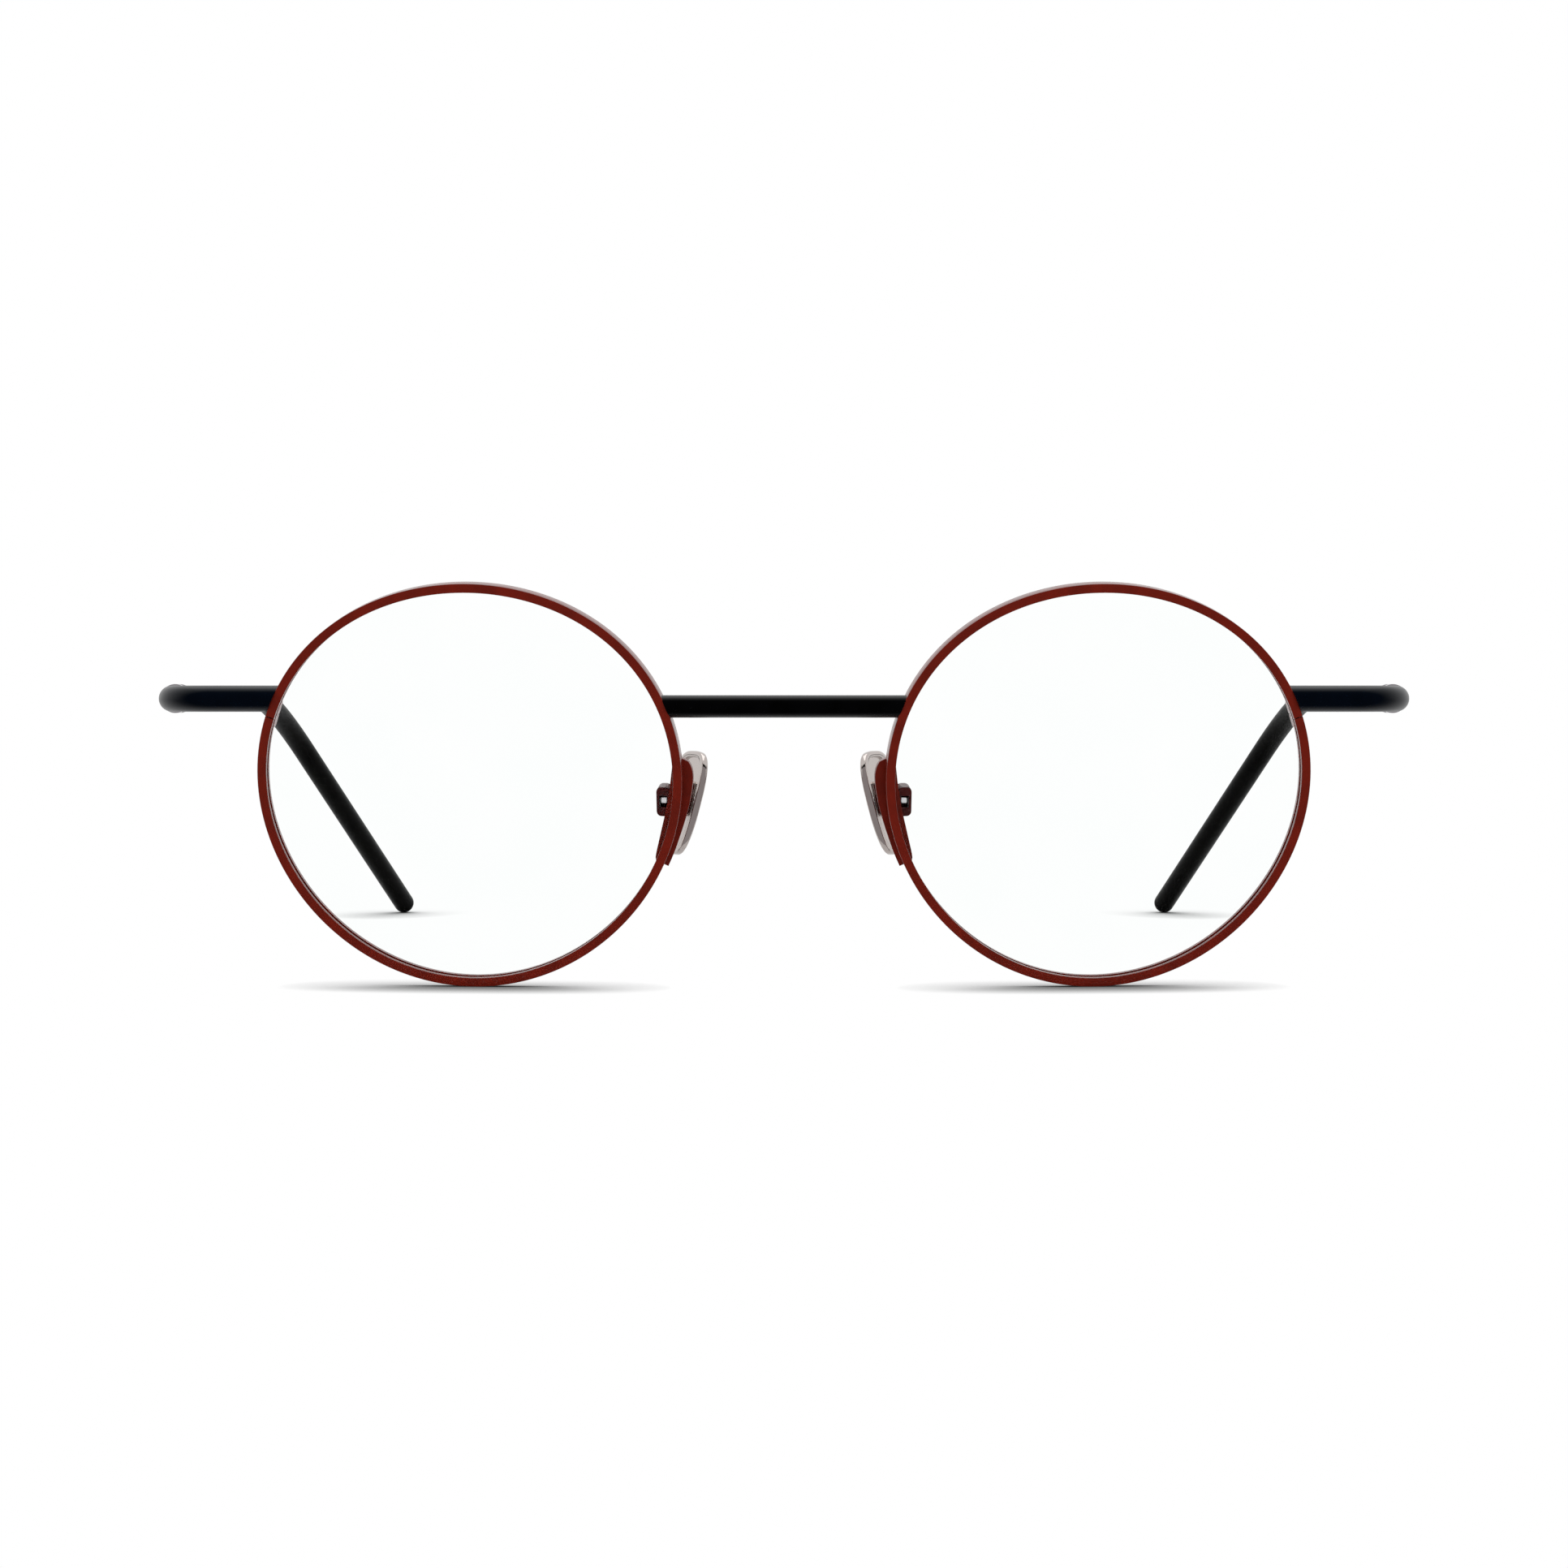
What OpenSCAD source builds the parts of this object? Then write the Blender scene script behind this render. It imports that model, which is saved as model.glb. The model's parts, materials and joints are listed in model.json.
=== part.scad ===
// Round metal eyeglasses, in millimetres, standing on the rims and the temple tips.
// +X is the wearer's left, +Y runs back along the temples and +Z is up.
// Each side is drawn for the wearer's left and mirrored for the right.

/* [Lenses] */
// Width of a lens across its widest line
lens_w = 46.2; // [43:0.1:50]
// Height of a lens
lens_h = 44.3; // [41:0.1:48]
// Fullness of the upper corners, which also flattens the top
corner_fill = 0.26; // [0:0.02:0.4]
// Thickness of a lens
lens_t = 1.5; // [1.3:0.1:1.8]
// Radius of a lens's surfaces
lens_curve = 110; // [100:5:200]
// Distance between the two lens centres
lens_pitch = 70.1; // [68:0.1:76]

/* [Rims] */
// Width of the rim wire seen from the front
rim_w = 1; // [0.8:0.05:1.2]
// Depth of the rim wire from front to back
rim_d = 2; // [1.8:0.1:2.6]
// Depth of the groove that holds the edge of the lens
groove_depth = 0.25; // [0.2:0.05:0.35]
// Width of the groove
groove_w = 0.7; // [0.6:0.05:0.9]
// Forward tilt of the top of the rims in degrees
tilt = 10; // [4:1:14]
// Turn of each rim's outer side towards the back in degrees
wrap = 4.5; // [1:0.5:7]

/* [Rim locks] */
// Distance of the split in the rim below the arm's axis
lock_below = 2.25; // [2.2:0.05:2.6]
// Width of the split
split_w = 0.12; // [0.08:0.02:0.2]
// Height of each lock block along the rim
lock_h = 1.4; // [1.2:0.1:1.6]
// Depth of the lock blocks behind the rim
lock_d = 1.3; // [1.3:0.1:2.2]
// Reach of the lock blocks past the outer edge of the rim
lock_out = 0.3; // [0.3:0.05:0.6]
// Reach of the lock blocks inside the inner edge of the rim, or less than nothing outside it
lock_in = -0.05; // [-0.05:0.05:0.4]
// Diameter of the lock screw
lock_screw_d = 0.7; // [0.6:0.05:0.7]
// Diameter of the lock screw's head
lock_head_d = 1; // [0.9:0.05:1]
// Height of the lock screw's head
lock_head_h = 0.35; // [0.3:0.05:0.45]

/* [Bridge] */
// Diameter of the bridge bar
bridge_d = 2.5; // [2.2:0.1:3]
// Height of the bridge's axis above the lens centres
bridge_up = 8.65; // [7:0.05:10]

/* [Arms] */
// Outer diameter of the endpiece and temple tubes
arm_d = 2.95; // [2.8:0.05:3.2]
// Wall of the endpiece and temple tubes
arm_wall = 0.35; // [0.3:0.05:0.4]
// Height of the arms' axis above the lens centres
arm_up = 9.5; // [9.4:0.1:11]
// Distance between the two hinges, from tube axis to tube axis
hinge_pitch = 138.4; // [135:0.1:148]
// Bend radius of the endpiece's elbow
elbow_r = 5; // [4:0.5:7]
// Outward turn of each open temple in degrees
splay = 1.3; // [0:0.1:3]

/* [Hinges] */
// Diameter of the hinge collars
collar_d = 3.3; // [3.3:0.05:3.5]
// Length of each hinge collar
collar_len = 2; // [1.9:0.1:2.6]
// Length of the plug that each hinge leaf pushes into its tube
shank_len = 1.9; // [1.5:0.1:3]
// Distance of the hinge axis inward from the tube axis
hinge_in = 0.9; // [0.8:0.05:1]
// Diameter of the hinge barrel
barrel_d = 2.5; // [2.4:0.05:2.6]
// Height of the hinge barrel
barrel_h = 2.8; // [2.6:0.05:2.9]
// Height of the tongue between the two ears
tongue_h = 1.14; // [1:0.02:1.2]
// Diameter of the hinge screw
hinge_screw_d = 1.2; // [1:0.05:1.3]
// Diameter of the hinge screw's head
hinge_head_d = 1.9; // [1.8:0.05:2]
// Height of the hinge screw's head
hinge_head_h = 0.35; // [0.3:0.05:0.4]

/* [Temples] */
// Distance from the hinge to the corner of the ear bend
bend_at = 81.5; // [76:0.5:92]
// Angle of the ear bend in degrees
bend_angle = 40; // [36:1:48]
// Inward lean of the ear bend in degrees
bend_lean = 25.5; // [18:0.5:28]
// Radius of the ear bend along the tube's axis
bend_r = 36; // [12:1:38]
// Distance from the hinge to the front end of the temple tip
tip_from = 58; // [50:1:65]
// Diameter of the core wire in the temple tip
core_d = 1.4; // [1.2:0.1:1.6]
// Length of the core's plug in the temple tube
plug_len = 6; // [4:1:10]
// Length of solid tip past the end of the core wire
tip_solid = 10; // [6:1:16]

/* [Nose pads] */
// Length of a nose pad
pad_len = 12; // [11:0.1:13.4]
// Width of a nose pad
pad_w = 7.3; // [6.4:0.1:7.6]
// Thickness of a nose pad at its middle
pad_t = 1; // [1:0.1:1.8]
// Narrowing of the pad's lower end, as a share of its width
pad_taper = 0.2; // [0:0.05:0.25]
// Fullness of the pad's corners, from an oval at 1 to a squarer shape below it
pad_fill = 0.6; // [0.55:0.05:1]
// Radius of the rounded side that touches the nose
pad_curve = 70; // [30:5:75]
// Width of the pad's raised edge
pad_edge = 0.7; // [0.6:0.05:0.9]
// Depth of the pad's recess
pad_recess = 0.35; // [0.25:0.05:0.45]
// Distance of a pad's centre inward of the rim's outer edge
pad_in = 0.25; // [0.2:0.05:1.5]
// Distance of a pad's centre behind the lens centres
pad_back = 6.3; // [6:0.1:8]
// Distance of a pad's centre below the lens centres
pad_down = 2.35; // [1.6:0.05:3]
// Lean of the pads, tops together, in degrees
pad_lean = 13; // [8:0.5:16]
// Splay of the pads, back edges apart, in degrees
pad_splay = 24; // [18:1:30]

/* [Pad arms] */
// Reach of the pad plate's wide upper part past the outer edge of the rim
plate_out = 1.15; // [0.9:0.05:1.3]
// Reach of the pad plate's narrow lower end past the outer edge of the rim
plate_tail = 0.5; // [0.3:0.05:0.6]
// Reach of the pad plate inside the inner edge of the rim
plate_in = 0.7; // [0.6:0.05:0.8]
// Thickness of the pad plate
plate_t = 0.8; // [0.7:0.05:0.8]
// Top end of the pad plate, in degrees above the rim's inner side
plate_top = 6.5; // [6:0.5:12]
// Bottom end of the pad plate, in degrees below the rim's inner side
plate_bottom = 23.5; // [20:0.5:30]
// Length of the pad plate's round upper corner along the rim in degrees
plate_corner = 6; // [3:0.5:7]
// Length of the pad plate's wide part along the rim in degrees
plate_wide = 24; // [20:1:30]
// Width of the pad box
box_w = 1.5; // [1.4:0.05:1.7]
// Height of the pad box
box_h = 3.3; // [3.2:0.1:3.8]
// Distance of the pad box inside the inner edge of the rim
box_in = 0.4; // [0.3:0.05:0.45]
// Distance of the pad box's middle below the lens centre
box_down = 2.2; // [1.6:0.1:2.4]
// Front wall of the pad box
box_wall = 0.4; // [0.3:0.05:0.5]
// Width of the slot in the pad box
box_slot_w = 0.86; // [0.8:0.02:0.9]
// Height of the slot in the pad box
box_slot_h = 2.2; // [2.1:0.1:2.5]
// Height of the window in the pad box
box_window_h = 1.3; // [1:0.1:1.6]
// Radius of the eye at the end of the pad stem
eye_r = 0.95; // [0.8:0.05:0.95]
// Distance from the pad screw back to the corner of the stem
neck_len = 3; // [2.7:0.1:3.4]
// Bend radius of the stem
stem_bend_r = 1; // [0.8:0.1:1.2]
// Height of the boss on the pad that the stem ends in
boss_h = 4; // [3.4:0.1:4.6]
// Width of the boss
boss_w = 1.6; // [1.4:0.1:2]
// Reach of the boss past the pad's raised edge
boss_out = 0.5; // [0.3:0.1:0.7]
// Depth of the stem's seat in the boss
seat_depth = 0.8; // [0.6:0.1:1]
// Diameter of the pad screw
pad_screw_d = 0.7; // [0.6:0.05:0.8]
// Diameter of the pad screw's head
pad_head_d = 1.3; // [1.1:0.1:1.4]
// Height of the pad screw's head
pad_head_h = 0.3; // [0.2:0.05:0.4]

/* [Fits] */
// Clearance of a plug, thread or lens edge in its seat
seat_gap = 0.02; // [0.01:0.01:0.04]
// Clearance of a turning bore round its screw
pivot_gap = 0.03; // [0.02:0.01:0.05]
// Clearance of a turning part beside its neighbour
side_gap = 0.05; // [0.04:0.01:0.08]
// Clearance of a corner that swings past its neighbour
swing_gap = 0.08; // [0.06:0.01:0.12]

/* [Hidden] */
$fn = 64;

// Outline steps round a rim, along a pad plate and round a nose pad
rim_steps = 120;
plate_steps = 30;
pad_steps = 48;
corner_steps = 5;
// Facets of the large spheres that are used only in a shallow cap, for a lens and for a pad
fine = 240;
pad_fine = 360;
// A length that passes right through any piece of the frame
through = 12;
// A bend is this much thinner than its straights, which lap a little way over it
bend_step = 0.005;
bend_lap = 0.05;
// The pad stem is this much smaller in radius than half the thickness of its eye
stem_step = 0.06;
// The slot in a screw's head, which is smaller in the pad screw
slot_w = 0.25;
slot_depth = 0.15;
pad_slot_w = 0.2;
// Metal that is left over the end of the lock screw
lock_roof = 0.3;
// Place of the front leaf's step past the hinge axis
cut_edge = 0.3;
// Angle from a rim's outer side to the furthest forward place on it
front_angle = 114;
// How late the pad plate's inner edge swells below its top end
plate_in_swell = 1.2;
// Corner radius of the pad box and of the boss on the pad
box_corner = 0.55;

lens_r0 = (lens_w + lens_h) / 4;
lens_r2 = (lens_w - lens_h) / 4;
rim_in = -groove_depth;
rim_out = rim_w - groove_depth;
lens_x = lens_pitch / 2;
lens_z = outline_r(270, rim_out) * cos(tilt) + rim_d / 2 * sin(tilt);

arm_r = arm_d / 2;
arm_bore_r = arm_r - arm_wall;
shank_r = arm_bore_r - seat_gap;
arm_z = lens_z + arm_up;
arm_w = arm_up / cos(tilt);
arm_y = plane_y(reach_at(arm_w, rim_out), arm_w);
bridge_w = bridge_up / cos(tilt);
bridge_y = plane_y(-reach_at(bridge_w, rim_out), bridge_w);

// The elbow turns to the open temple's direction, and a straight holds the hinge plug
elbow_turn = 90 - splay;
elbow_run = shank_len + collar_len;
hinge_x = hinge_pitch / 2;
elbow_x = hinge_x - elbow_r * sin(elbow_turn) - elbow_run * cos(elbow_turn);
hinge_y = arm_y + elbow_r * (1 - cos(elbow_turn)) + elbow_run * sin(elbow_turn);

collar_r = collar_d / 2;
barrel_r = barrel_d / 2;
swing_r = barrel_r + swing_gap;
ear_z = tongue_h / 2 + side_gap;
// The temple's collar swings past the hinge axis as it folds, so the front leaf is cut back there
cut_back = collar_r - hinge_in + 2 * side_gap;

// Each drop is as long as it takes for the tip to stand where the rims stand
bend_start = bend_at - bend_r * tan(bend_angle / 2);
bend_fall = bend_r * (1 - cos(bend_angle));
drop_len = ((arm_z - arm_r) / cos(bend_lean) - bend_fall) / sin(bend_angle);
core_r = core_d / 2;
tip_y = bend_start + bend_r * sin(bend_angle) + drop_len * cos(bend_angle);
tip_x = -sin(bend_lean) * (bend_fall + drop_len * sin(bend_angle));

// The origin lies under the middle of the frame's length
front_edge = -outline_r(front_angle, rim_out) * norm([sin(wrap), sin(tilt) * cos(wrap)]) - rim_d / 2;
back_edge = hinge_y + tip_y * cos(splay) - tip_x * sin(splay) + arm_r;
frame_y = -(front_edge + back_edge) / 2;

// The blocks and their screw lie along the rim's radius at the split
lock_angle = asin((arm_w - lock_below) / lens_r0);
lock_start = outline_r(lock_angle, rim_in - lock_in);
lock_w = lock_in + rim_w + lock_out;
lock_screw_r = lock_screw_d / 2;
lock_screw_len = split_w + 2 * lock_h - lock_roof;
lock_x = lock_start + lock_w / 2;
lock_y = rim_d / 2 + lock_d / 2;

pad_x = lens_x - reach_at(-pad_down, rim_out) - pad_in;
box_x = reach_at(-box_down, rim_in) - box_in - box_w / 2;
box_front = rim_d / 2 + side_gap;
pivot_y = box_front + box_wall + 2 * side_gap + eye_r;
box_d = box_wall + 2 * side_gap + 2 * eye_r + side_gap;
eye_t = box_slot_w - 2 * side_gap;
stem_r = eye_t / 2 - stem_step;
pad_screw_r = pad_screw_d / 2;
// The stem's far end points straight into the pad, so its corner gives the boss its place
corner = in_pad(on_frame([-box_x, pivot_y + neck_len, -box_down]));
boss_top = pad_t / 2 + boss_out;
boss_seat = boss_top - seat_depth;
stem_way = along_frame([-cos(pad_lean) * cos(pad_splay), cos(pad_lean) * sin(pad_splay), -sin(pad_lean)]);
stem_turn = acos(stem_way.y);
stem_cut = stem_bend_r * tan(stem_turn / 2);

// Radius of the lens outline at an angle, grown outwards by a distance
function outline_r(a, grow) = lens_r0 + grow + lens_r2 * cos(2 * a) + corner_fill * sin(3 * a);
function outline(grow) = [
  for (i = [0:rim_steps - 1]) let (a = i * 360 / rim_steps) outline_r(a, grow) * [cos(a), sin(a)]
];
// Half width of the grown outline at a height above the lens centre
function reach_at(w, grow) =
  let (r = outline_r(asin(w / (lens_r0 + grow)), grow)) sqrt(r * r - w * w);
// How far back the rim's middle plane lies at a place on it
function plane_y(x, w) = x * sin(wrap) - w * sin(tilt) * cos(wrap);
// A place in the left rim's own axes, given in the frame's axes
function on_frame(p) =
  let (y = p.y * cos(tilt) - p.z * sin(tilt))
  let (z = p.y * sin(tilt) + p.z * cos(tilt))
  [lens_x + p.x * cos(wrap) - y * sin(wrap), p.x * sin(wrap) + y * cos(wrap), lens_z + z];
// A direction in the frame's axes, given in the left rim's own axes
function along_frame(v) =
  let (y = v.y * cos(wrap) - v.x * sin(wrap))
  [v.x * cos(wrap) + v.y * sin(wrap), y * cos(tilt) + v.z * sin(tilt), v.z * cos(tilt) - y * sin(tilt)];
// A place in the frame's axes, given in the left pad's own axes
function in_pad(p) =
  let (d = p - [pad_x, pad_back, lens_z - pad_down])
  let (x = d.x * cos(pad_splay) - d.y * sin(pad_splay))
  [
    x * cos(pad_lean) + d.z * sin(pad_lean),
    d.x * sin(pad_splay) + d.y * cos(pad_splay),
    d.z * cos(pad_lean) - x * sin(pad_lean)
  ];
function rounded_box(w, h, r) = [
  for (k = [0:3], j = [0:corner_steps])
    let (a = 90 * (k + j / corner_steps))
    let (cx = (k == 0 || k == 3 ? 1 : -1) * (w / 2 - r))
    let (cy = (k < 2 ? 1 : -1) * (h / 2 - r))
    [cx + r * cos(a), cy + r * sin(a)]
];
// How far along the rim a step of the pad plate lies below its top end, in degrees
function plate_run(i) = i / plate_steps * (plate_top + plate_bottom);
// The pad plate's outer reach: a round corner at the top, then a slope down to the narrow end
function plate_reach(i) =
  let (corner_left = max(0, 1 - plate_run(i) / plate_corner))
  let (wide = (1 + cos(min(180, 180 * plate_run(i) / plate_wide))) / 2)
  sqrt(1 - corner_left * corner_left) * (plate_tail + (plate_out - plate_tail) * wide);
function plate_hollow(i) = plate_in * sqrt(max(0, sin(180 * pow(i / plate_steps, plate_in_swell))));
function plate_outline() = concat(
  [for (i = [0:plate_steps]) plate_point(i, rim_out + plate_reach(i))],
  [for (i = [plate_steps:-1:0]) plate_point(i, rim_in - plate_hollow(i))]
);
function plate_point(i, grow) =
  let (a = 180 - plate_top + plate_run(i))
  outline_r(a, grow) * [cos(a), sin(a)];
// A number between -1 and 1 pushed outwards, so that an oval's corners fill out
function fuller(v) = sign(v) * pow(abs(v), pad_fill);
function pad_outline(inset) = [
  for (i = [0:pad_steps - 1])
    let (a = i * 360 / pad_steps)
    let (c = fuller(cos(a)), s = fuller(sin(a)))
    [(pad_w / 2 - inset) * c * (1 + pad_taper * s), (pad_len / 2 - inset) * s]
];

module on_side(side) {
  translate([0, frame_y, 0])
    if (side < 0)
      mirror([1, 0, 0]) children();
    else
      children();
}

module lens_frame() {
  translate([lens_x, 0, lens_z])
    rotate([tilt, 0, wrap]) children();
}

module lock_frame() {
  lens_frame()
    rotate([0, -lock_angle, 0]) children();
}

module box_frame() {
  lens_frame()
    translate([-box_x, 0, -box_down]) children();
}

module pad_frame() {
  translate([pad_x, pad_back, lens_z - pad_down])
    rotate([0, -pad_lean, -pad_splay]) children();
}

module hinge_frame() {
  translate([hinge_x, hinge_y, arm_z])
    rotate([0, 0, -splay]) children();
}

// A slab of the lens outline, grown, with its middle in the lens plane
module lens_slab(grow, depth) {
  rotate([90, 0, 0])
    linear_extrude(height = depth, center = true) polygon(outline(grow));
}

module along_y(from, to, r) {
  translate([0, from, 0])
    rotate([-90, 0, 0]) cylinder(h = to - from, r = r);
}

module along_x(from, to, r) {
  translate([from, 0, 0])
    rotate([0, 90, 0]) cylinder(h = to - from, r = r);
}

module rim(side) {
  color("#6b241b") on_side(side) lens_frame()
    difference() {
      lens_slab(rim_out, rim_d);
      lens_slab(rim_in, through);
      lens_slab(0, groove_w);
      rotate([0, -lock_angle, 0])
        translate([lens_r0, 0, 0]) cube([through, through, split_w], center = true);
    }
}

// The curved middle stays inside the rim, and a thin edge stands in the groove
module lens(side) {
  sag = lens_curve - sqrt(lens_curve * lens_curve - lens_r0 * lens_r0);
  color([0.9, 0.94, 0.96, 0.4]) on_side(side) lens_frame() {
    intersection() {
      lens_slab(rim_in - seat_gap, through);
      difference() {
        translate([0, lens_curve - sag - lens_t / 2, 0]) sphere(r = lens_curve, $fn = fine);
        translate([0, lens_curve - sag + lens_t / 2, 0]) sphere(r = lens_curve, $fn = fine);
      }
    }
    difference() {
      lens_slab(-seat_gap, groove_w - 2 * seat_gap);
      lens_slab(rim_in - groove_depth, through);
    }
  }
}

module bridge_bar() {
  color("#141416") on_side(1)
    difference() {
      translate([0, bridge_y, lens_z + bridge_up]) along_x(-lens_x / 2, lens_x / 2, bridge_d / 2);
      lens_frame() lens_slab(rim_out, through);
      mirror([1, 0, 0]) lens_frame() lens_slab(rim_out, through);
    }
}

// The endpiece's path, as a solid bar of a given radius
module endpiece_bar(r) {
  translate([0, arm_y, arm_z]) {
    along_x(lens_x + lens_r0 / 2, elbow_x + bend_lap, r);
    translate([elbow_x, elbow_r, 0])
      rotate([0, 0, -90])
        rotate_extrude(angle = elbow_turn) translate([elbow_r, 0]) circle(r = r - bend_step);
  }
  hinge_frame() along_y(-elbow_run - bend_lap, -collar_len, r);
}

module endpiece_tube(side) {
  color("#10131a") on_side(side)
    difference() {
      endpiece_bar(arm_r);
      endpiece_bar(arm_bore_r);
      lens_frame() lens_slab(rim_out, through);
    }
}

// One of the two blocks that close the rim, above the split at 1 and below it at -1
module rim_lock(side, level) {
  color("#6b241b") on_side(side)
    difference() {
      lock_frame()
        translate([lock_start, rim_d / 2, level > 0 ? split_w / 2 : -split_w / 2 - lock_h])
          cube([lock_w, lock_d, lock_h]);
      endpiece_bar(arm_r);
      lock_frame()
        translate([lock_x, lock_y, 0]) lock_screw_bar(seat_gap);
    }
}

// The lock screw's shape, grown by a gap: the shank's end is in the upper block
module lock_screw_bar(gap) {
  head_z = -split_w / 2 - lock_h - gap;
  translate([0, 0, head_z]) cylinder(h = lock_head_h + gap, r = lock_head_d / 2 + gap);
  translate([0, 0, head_z]) cylinder(h = lock_screw_len + gap, r = lock_screw_r + gap);
}

module rim_lock_screw(side) {
  color("silver") on_side(side) lock_frame()
    translate([lock_x, lock_y, 0])
      difference() {
        lock_screw_bar(0);
        translate([0, 0, -split_w / 2 - lock_h])
          cube([lock_head_d * 2, slot_w, 2 * slot_depth], center = true);
      }
}

// The hinge's ear or tongue between two heights: a barrel and the web that joins it to its collar
module knuckle(from, to, way) {
  translate([-hinge_in, 0, from]) cylinder(h = to - from, r = barrel_r);
  intersection() {
    translate([-hinge_in - barrel_r, way > 0 ? 0 : -collar_len, from])
      cube([barrel_d, collar_len, to - from]);
    along_y(-collar_len, collar_len, collar_r);
  }
}

module hinge_bore(r) {
  translate([-hinge_in, 0, 0]) cylinder(h = through, r = r, center = true);
}

// Cuts the room that the other leaf's knuckle turns in, between two heights
module knuckle_room(from, to) {
  translate([-hinge_in - swing_r - through, -swing_r, from])
    cube([2 * swing_r + through, 2 * swing_r, to - from]);
}

module hinge_front_leaf(side) {
  color("#b4b3b8") on_side(side) hinge_frame()
    difference() {
      union() {
        difference() {
          along_y(-collar_len, -side_gap / 2, collar_r);
          knuckle_room(-ear_z, ear_z);
          translate([-through - hinge_in + cut_edge, -cut_back, -through / 2])
            cube([through, through, through]);
        }
        along_y(-collar_len - shank_len, -collar_len, shank_r);
        knuckle(ear_z, barrel_h / 2, -1);
        knuckle(-barrel_h / 2, -ear_z, -1);
      }
      hinge_bore(hinge_screw_d / 2 + seat_gap);
      translate([-hinge_in, 0, barrel_h / 2 - hinge_head_h])
        cylinder(h = through, r = hinge_head_d / 2 + seat_gap);
    }
}

module hinge_temple_leaf(side) {
  color("#b4b3b8") on_side(side) hinge_frame()
    difference() {
      union() {
        difference() {
          along_y(side_gap / 2, collar_len, collar_r);
          knuckle_room(tongue_h / 2, through);
          knuckle_room(-through, -tongue_h / 2);
        }
        along_y(collar_len, collar_len + shank_len, shank_r);
        knuckle(-tongue_h / 2, tongue_h / 2, 1);
      }
      hinge_bore(hinge_screw_d / 2 + pivot_gap);
    }
}

module hinge_screw(side) {
  color("silver") on_side(side) hinge_frame()
    translate([-hinge_in, 0, 0])
      difference() {
        union() {
          translate([0, 0, -barrel_h / 2]) cylinder(h = barrel_h, r = hinge_screw_d / 2);
          translate([0, 0, barrel_h / 2 - hinge_head_h]) cylinder(h = hinge_head_h, r = hinge_head_d / 2);
        }
        translate([0, 0, barrel_h / 2]) cube([hinge_head_d * 2, slot_w, 2 * slot_depth], center = true);
      }
}

// The temple's path from a place on its level part to a place on its drop
module temple_bar(from, drop, r) {
  rotate([0, bend_lean, 0]) {
    along_y(from, bend_start + bend_lap, r);
    translate([0, bend_start, -bend_r])
      rotate([0, -90, 0])
        rotate_extrude(angle = bend_angle) translate([bend_r, 0]) circle(r = r - bend_step);
    translate([0, bend_start + bend_r * sin(bend_angle), -bend_fall])
      rotate([-bend_angle, 0, 0]) along_y(-bend_lap, drop, r);
  }
}

module temple_tube(side) {
  color("#121212") on_side(side) hinge_frame()
    difference() {
      along_y(collar_len, tip_from, arm_r);
      along_y(0, bend_at, arm_bore_r);
    }
}

module temple_core(side) {
  color("silver") on_side(side) hinge_frame() {
    along_y(tip_from - plug_len, tip_from, shank_r);
    temple_bar(tip_from - plug_len / 2, drop_len - tip_solid, core_r);
  }
}

module temple_tip(side) {
  color("#121212") on_side(side) hinge_frame()
    difference() {
      union() {
        temple_bar(tip_from, drop_len, arm_r);
        translate([tip_x, tip_y, arm_r - arm_z]) sphere(r = arm_r - bend_step);
      }
      temple_bar(tip_from, drop_len - tip_solid, core_r + seat_gap);
    }
}

module pad_plate(side) {
  color("#6b241b") on_side(side)
    difference() {
      lens_frame()
        translate([0, rim_d / 2 + plate_t, 0])
          rotate([90, 0, 0]) linear_extrude(height = plate_t) polygon(plate_outline());
      box_frame() box_block();
    }
}

module box_block() {
  translate([0, box_front + box_d, 0])
    rotate([90, 0, 0]) linear_extrude(height = box_d) polygon(rounded_box(box_w, box_h, box_corner));
}

module pad_box(side) {
  color("#4a1512") on_side(side) box_frame()
    difference() {
      box_block();
      translate([-box_slot_w / 2, box_front + box_wall, -box_slot_h / 2])
        cube([box_slot_w, through, box_slot_h]);
      translate([-box_slot_w / 2, 0, -box_window_h / 2]) cube([box_slot_w, through, box_window_h]);
      translate([0, pivot_y, 0]) along_x(-through, through, pad_screw_r + seat_gap);
    }
}

module pad_screw(side) {
  color("silver") on_side(side) box_frame()
    translate([0, pivot_y, 0])
      difference() {
        union() {
          along_x(-box_w / 2, box_w / 2, pad_screw_r);
          along_x(-box_w / 2 - pad_head_h, -box_w / 2, pad_head_d / 2);
        }
        translate([-box_w / 2 - pad_head_h, 0, 0])
          cube([2 * slot_depth, pad_slot_w, pad_head_d * 2], center = true);
      }
}

// The eye's neck, the bend and the arm that ends in the boss
module pad_stem(side) {
  color("#b9b6b4") on_side(side) box_frame() translate([0, pivot_y, 0])
    difference() {
      union() {
        along_x(-eye_t / 2, eye_t / 2, eye_r);
        rotate([0, atan2(-stem_way.z, stem_way.x), 0]) {
          along_y(0, neck_len - stem_cut + bend_lap, stem_r);
          translate([stem_bend_r, neck_len - stem_cut, 0]) {
            rotate([0, 0, 180 - stem_turn])
              rotate_extrude(angle = stem_turn) translate([stem_bend_r, 0]) circle(r = stem_r - bend_step);
            rotate([0, 0, -stem_turn])
              translate([-stem_bend_r, 0, 0])
                along_y(-bend_lap, corner.x - stem_cut - boss_seat, stem_r);
          }
        }
      }
      along_x(-through, through, pad_screw_r + pivot_gap);
    }
}

// A prism of the pad's outline through its thickness
module pad_prism(inset, from, to) {
  translate([from, 0, 0])
    rotate([90, 0, 90]) linear_extrude(height = to - from) polygon(pad_outline(inset));
}

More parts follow.
